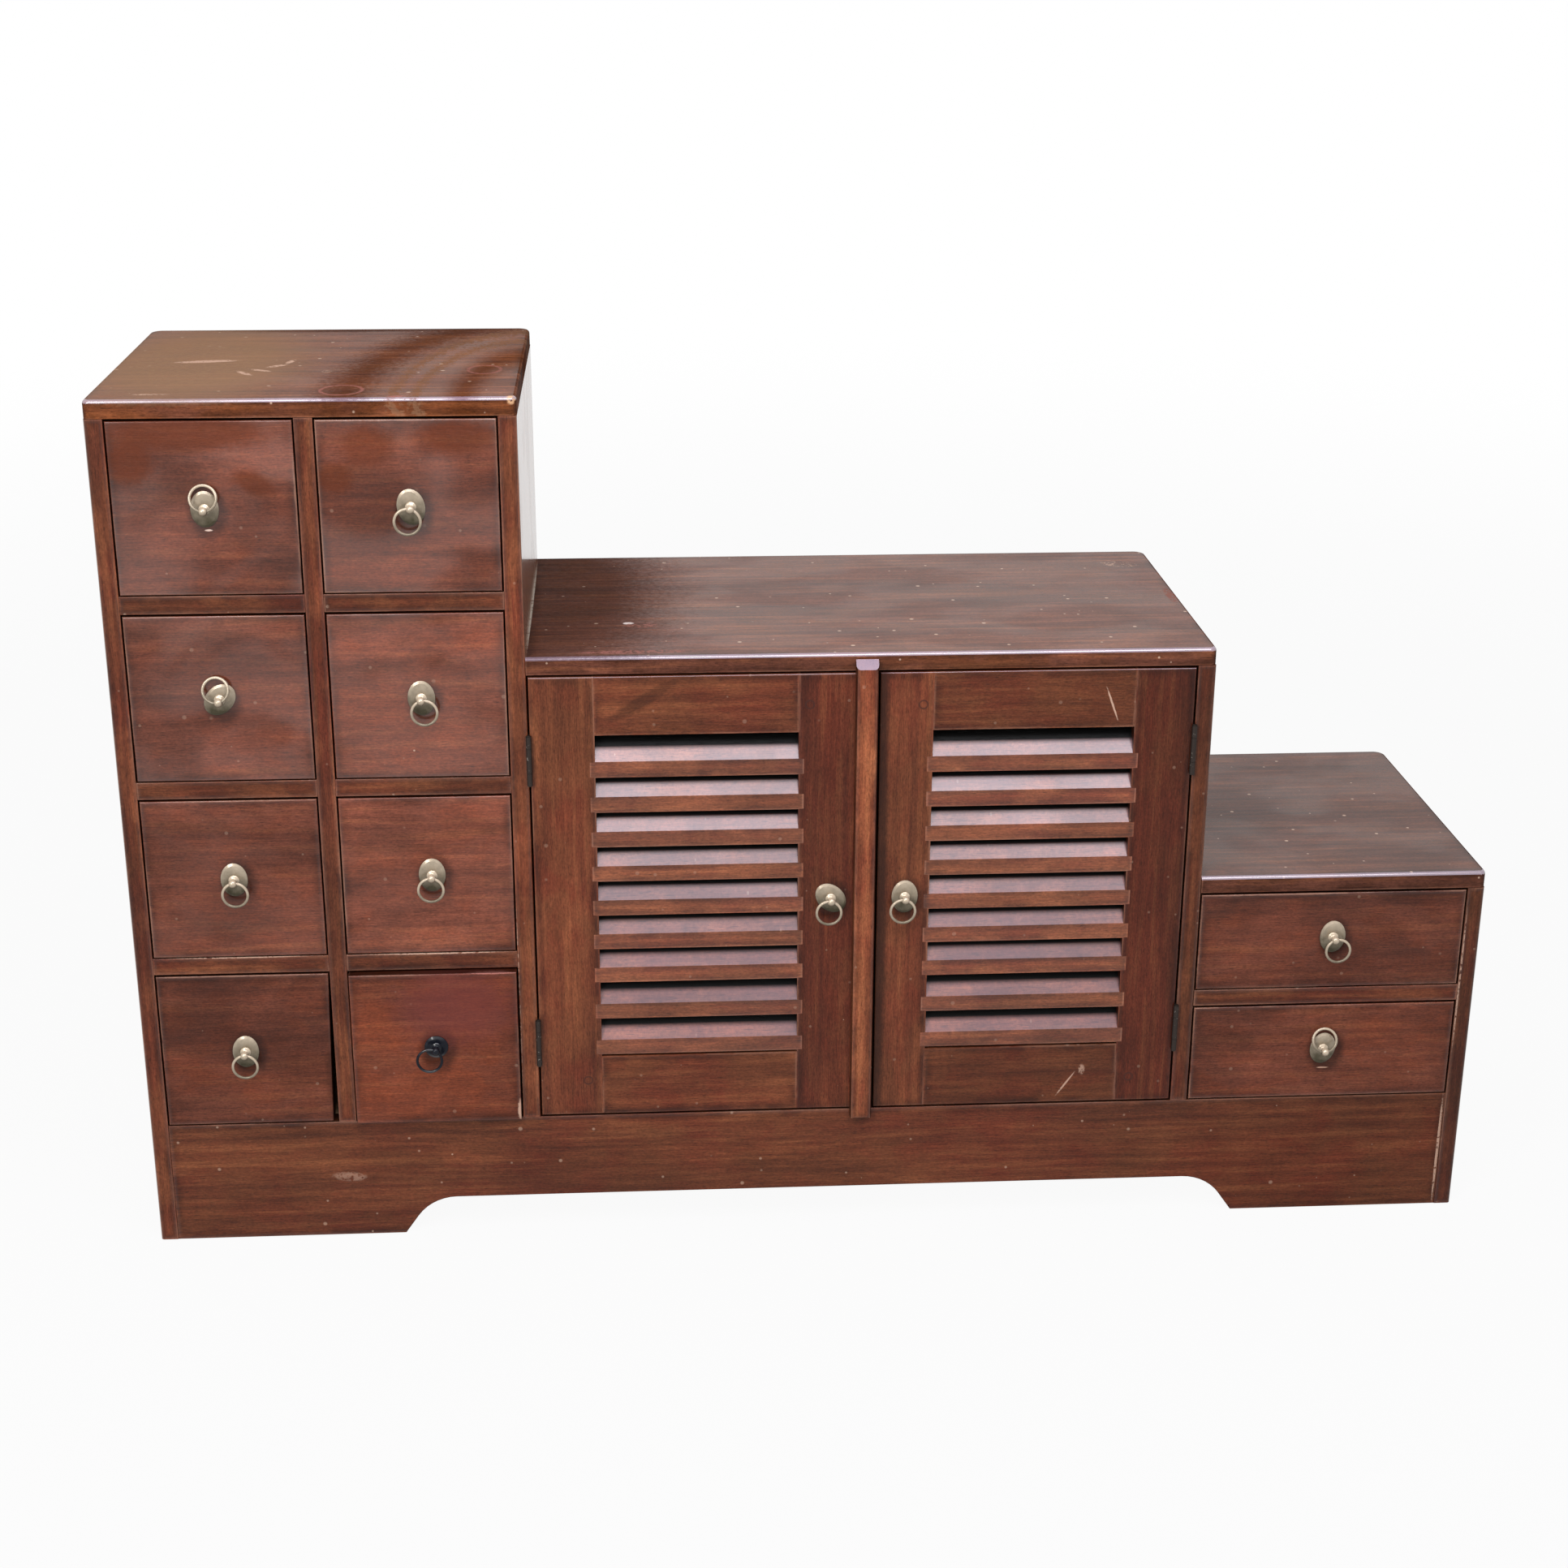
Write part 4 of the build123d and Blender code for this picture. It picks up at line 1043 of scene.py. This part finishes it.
class STEPCHEST_OT_doors(bpy.types.Operator):
    """Stain the louvred doors and the meeting strip"""

    bl_idname = "stepchest.doors"
    bl_label = "Finish the Doors"

    def execute(self, context):
        case = context.scene.step_chest_case
        tones = tones_of(case, case.brown, case.red, case.sheen)
        gloss = gloss_of(
            case,
            shine=0.44,
            sheen=0.16,
            edge=0.05,
            grain=0.8,
            handled=True,
            shaded=SLAT_SHADE,
        )
        wood = stained_wood("stained_doors", tones, gloss, marks=DOOR_MARKS)
        for door in DOORS:
            lay_out_boards(door, look=door_look, faces=slope_faces, slat_height=SLAT_HEIGHT)
            measure_from_pull(door, f"{door}_pull")
            dress(door, wood)
        strip = stained_wood("stained_strip", tones, gloss_of(case, shine=0.75, sheen=0.5))
        look = (0.3, 1.5)
        lay_out_boards("meeting_strip", grain=2, look=lambda board: look, faces=slope_faces)
        dress("meeting_strip", strip)
        return {"FINISHED"}


class STEPCHEST_OT_pulls(bpy.types.Operator):
    """Give the pulls and rings their aged brass, and the odd one its black paint"""

    bl_idname = "stepchest.pulls"
    bl_label = "Finish the Pulls"

    def execute(self, context):
        metal = context.scene.step_chest_metal
        brass = aged_brass("aged_brass", metal.brass_bright, metal.brass_dull)
        black = black_lacquer("black_paint", metal.black, metal.black_hazy)
        for owner in (*FRONT_LOOKS, *DOORS):
            material = black if owner == BLACK_PULL_ON else brass
            lay_out_boards(f"{owner}_pull", grain=2, look=pull_look)
            dress(f"{owner}_pull", material)
            lay_out_boards(f"{owner}_ring", grain=2, look=ring_look)
            dress(f"{owner}_ring", material)
        return {"FINISHED"}


class STEPCHEST_OT_hinges(bpy.types.Operator):
    """Give the hinges their tarnished steel"""

    bl_idname = "stepchest.hinges"
    bl_label = "Finish the Hinges"

    def execute(self, context):
        metal = context.scene.step_chest_metal
        steel = tarnished_steel("tarnished_steel", metal.steel_bright, metal.steel_dull)
        for node in HINGE_PARTS:
            dress(node, steel)
        return {"FINISHED"}


class STEPCHEST_OT_stage(bpy.types.Operator):
    """Set the pale floor, the lamps, the world and the camera"""

    bl_idname = "stepchest.stage"
    bl_label = "Set the Stage"

    def execute(self, context):
        stage = context.scene.step_chest_stage
        add_floor(stage)
        set_world(context.scene, stage)
        add_lamp("key_lamp", stage.key, **KEY_LAMP)
        add_lamp("sky_lamp", stage.sky, **SKY_LAMP)
        add_camera(context.scene, stage)
        context.scene.view_settings.view_transform = "Standard"
        return {"FINISHED"}


# ---- Stage -------------------------------------------------------------------------------------
# Lamps in metres: where they are, what they face, how wide and high they are, and their colour.
KEY_LAMP = {
    "place": (-1.9, -2.6, 1.9),
    "target": (0.0, -0.1, 0.35),
    "size": (1.2, 1.2),
    "colour": (1.0, 0.98, 0.95),
}
SKY_LAMP = {
    "place": (0.1, -1.45, 2.4),
    "target": (0.1, -0.16, 0.35),
    "size": (2.5, 1.2),
    "colour": (0.95, 0.93, 1.0),
}
CAMERA_PLACE = (-0.17296, -2.31395, 1.27065)
CAMERA_TURN = (69.6036, -0.2432, -3.6045)
FLOOR_REACH = 40.0
# The floor goes fully white between these distances from the chest.
FLOOR_FADE = (1.6, 5.0)
WHITE = (1.0, 1.0, 1.0, 1.0)


def background_rays(f):
    """1 for the rays that show the background: seen straight, mirrored or through something."""
    path = f.node("ShaderNodeLightPath").socket.node
    straight, mirrored, through = (
        Field(f, path.outputs[f"Is {kind} Ray"]) for kind in ("Camera", "Glossy", "Transmission")
    )
    return straight.high(mirrored).high(through)


def add_floor(stage):
    """A pale floor that keeps a soft shadow and goes to white."""
    mesh = bpy.data.meshes.new("floor")
    shape = bmesh.new()
    bmesh.ops.create_grid(shape, x_segments=8, y_segments=8, size=FLOOR_REACH)
    shape.to_mesh(mesh)
    shape.free()
    floor = bpy.data.objects.new("floor", mesh)
    bpy.context.scene.collection.objects.link(floor)
    f = Finish.material("pale_floor")
    seen = background_rays(f)
    matt = f.node("ShaderNodeBsdfDiffuse", inputs={"Color": rgb(stage.floor)})
    white = f.node("ShaderNodeEmission", inputs={"Color": WHITE, "Strength": 1.0})
    far = f.length(f.object_place()).rise(*FLOOR_FADE)
    share = seen * (stage.whiteness + far * (1 - stage.whiteness))
    both = f.node("ShaderNodeMixShader", inputs={0: share, 1: matt, 2: white})
    f.node("ShaderNodeOutputMaterial", inputs={"Surface": both})
    mesh.materials.append(f.owner)


def set_world(scene, stage):
    """Even light for the surfaces, and white for the camera and for reflections."""
    scene.world = bpy.data.worlds.new("pale_world")
    f = Finish(scene.world)
    seen = background_rays(f)
    strength = seen + (1 - seen) * stage.fill
    light = f.node("ShaderNodeBackground", inputs={"Color": WHITE, "Strength": strength})
    f.node("ShaderNodeOutputWorld", inputs={"Surface": light})


def add_lamp(name, power, place, target, size, colour):
    """A soft rectangular lamp that faces a point."""
    data = bpy.data.lights.new(name, "AREA")
    data.shape = "RECTANGLE"
    data.size, data.size_y = size
    data.energy = power
    data.color = colour
    lamp = bpy.data.objects.new(name, data)
    lamp.location = place
    lamp.rotation_euler = (Vector(target) - Vector(place)).to_track_quat("-Z", "Y").to_euler()
    bpy.context.scene.collection.objects.link(lamp)


def add_camera(scene, stage):
    """The camera in front of the chest, a little above it."""
    data = bpy.data.cameras.new("camera")
    data.sensor_width = 36.0
    data.lens = stage.lens
    data.clip_end = 200.0
    camera = bpy.data.objects.new("camera", data)
    camera.location = CAMERA_PLACE
    camera.rotation_euler = Euler([math.radians(angle) for angle in CAMERA_TURN], "XYZ")
    scene.collection.objects.link(camera)
    scene.camera = camera


class STEPCHEST_PT_panel(bpy.types.Panel):
    """Lists the chest's settings and the steps that finish it"""

    bl_idname = "STEPCHEST_PT_panel"
    bl_label = "Step Chest"
    bl_space_type = "VIEW_3D"
    bl_region_type = "UI"
    bl_category = "Step Chest"

    def draw(self, context):
        for operator in OPERATORS:
            self.layout.operator(operator.bl_idname)
        for name, group in SETTINGS.items():
            box = self.layout.box()
            box.label(text=group.__doc__)
            for key in group.__annotations__:
                box.prop(getattr(context.scene, name), key)


OPERATORS = (
    STEPCHEST_OT_case,
    STEPCHEST_OT_drawers,
    STEPCHEST_OT_doors,
    STEPCHEST_OT_pulls,
    STEPCHEST_OT_hinges,
    STEPCHEST_OT_stage,
)


def register():
    for group in (*SETTINGS.values(), *OPERATORS, STEPCHEST_PT_panel):
        bpy.utils.register_class(group)
    for name, group in SETTINGS.items():
        setattr(bpy.types.Scene, name, PointerProperty(type=group))


def unregister():
    for name in SETTINGS:
        delattr(bpy.types.Scene, name)
    for group in (STEPCHEST_PT_panel, *reversed(OPERATORS), *reversed(SETTINGS.values())):
        bpy.utils.unregister_class(group)


def main():
    register()
    bpy.ops.stepchest.case()
    bpy.ops.stepchest.drawers()
    bpy.ops.stepchest.doors()
    bpy.ops.stepchest.pulls()
    bpy.ops.stepchest.hinges()
    bpy.ops.stepchest.stage()


if __name__ == "__main__":
    main()
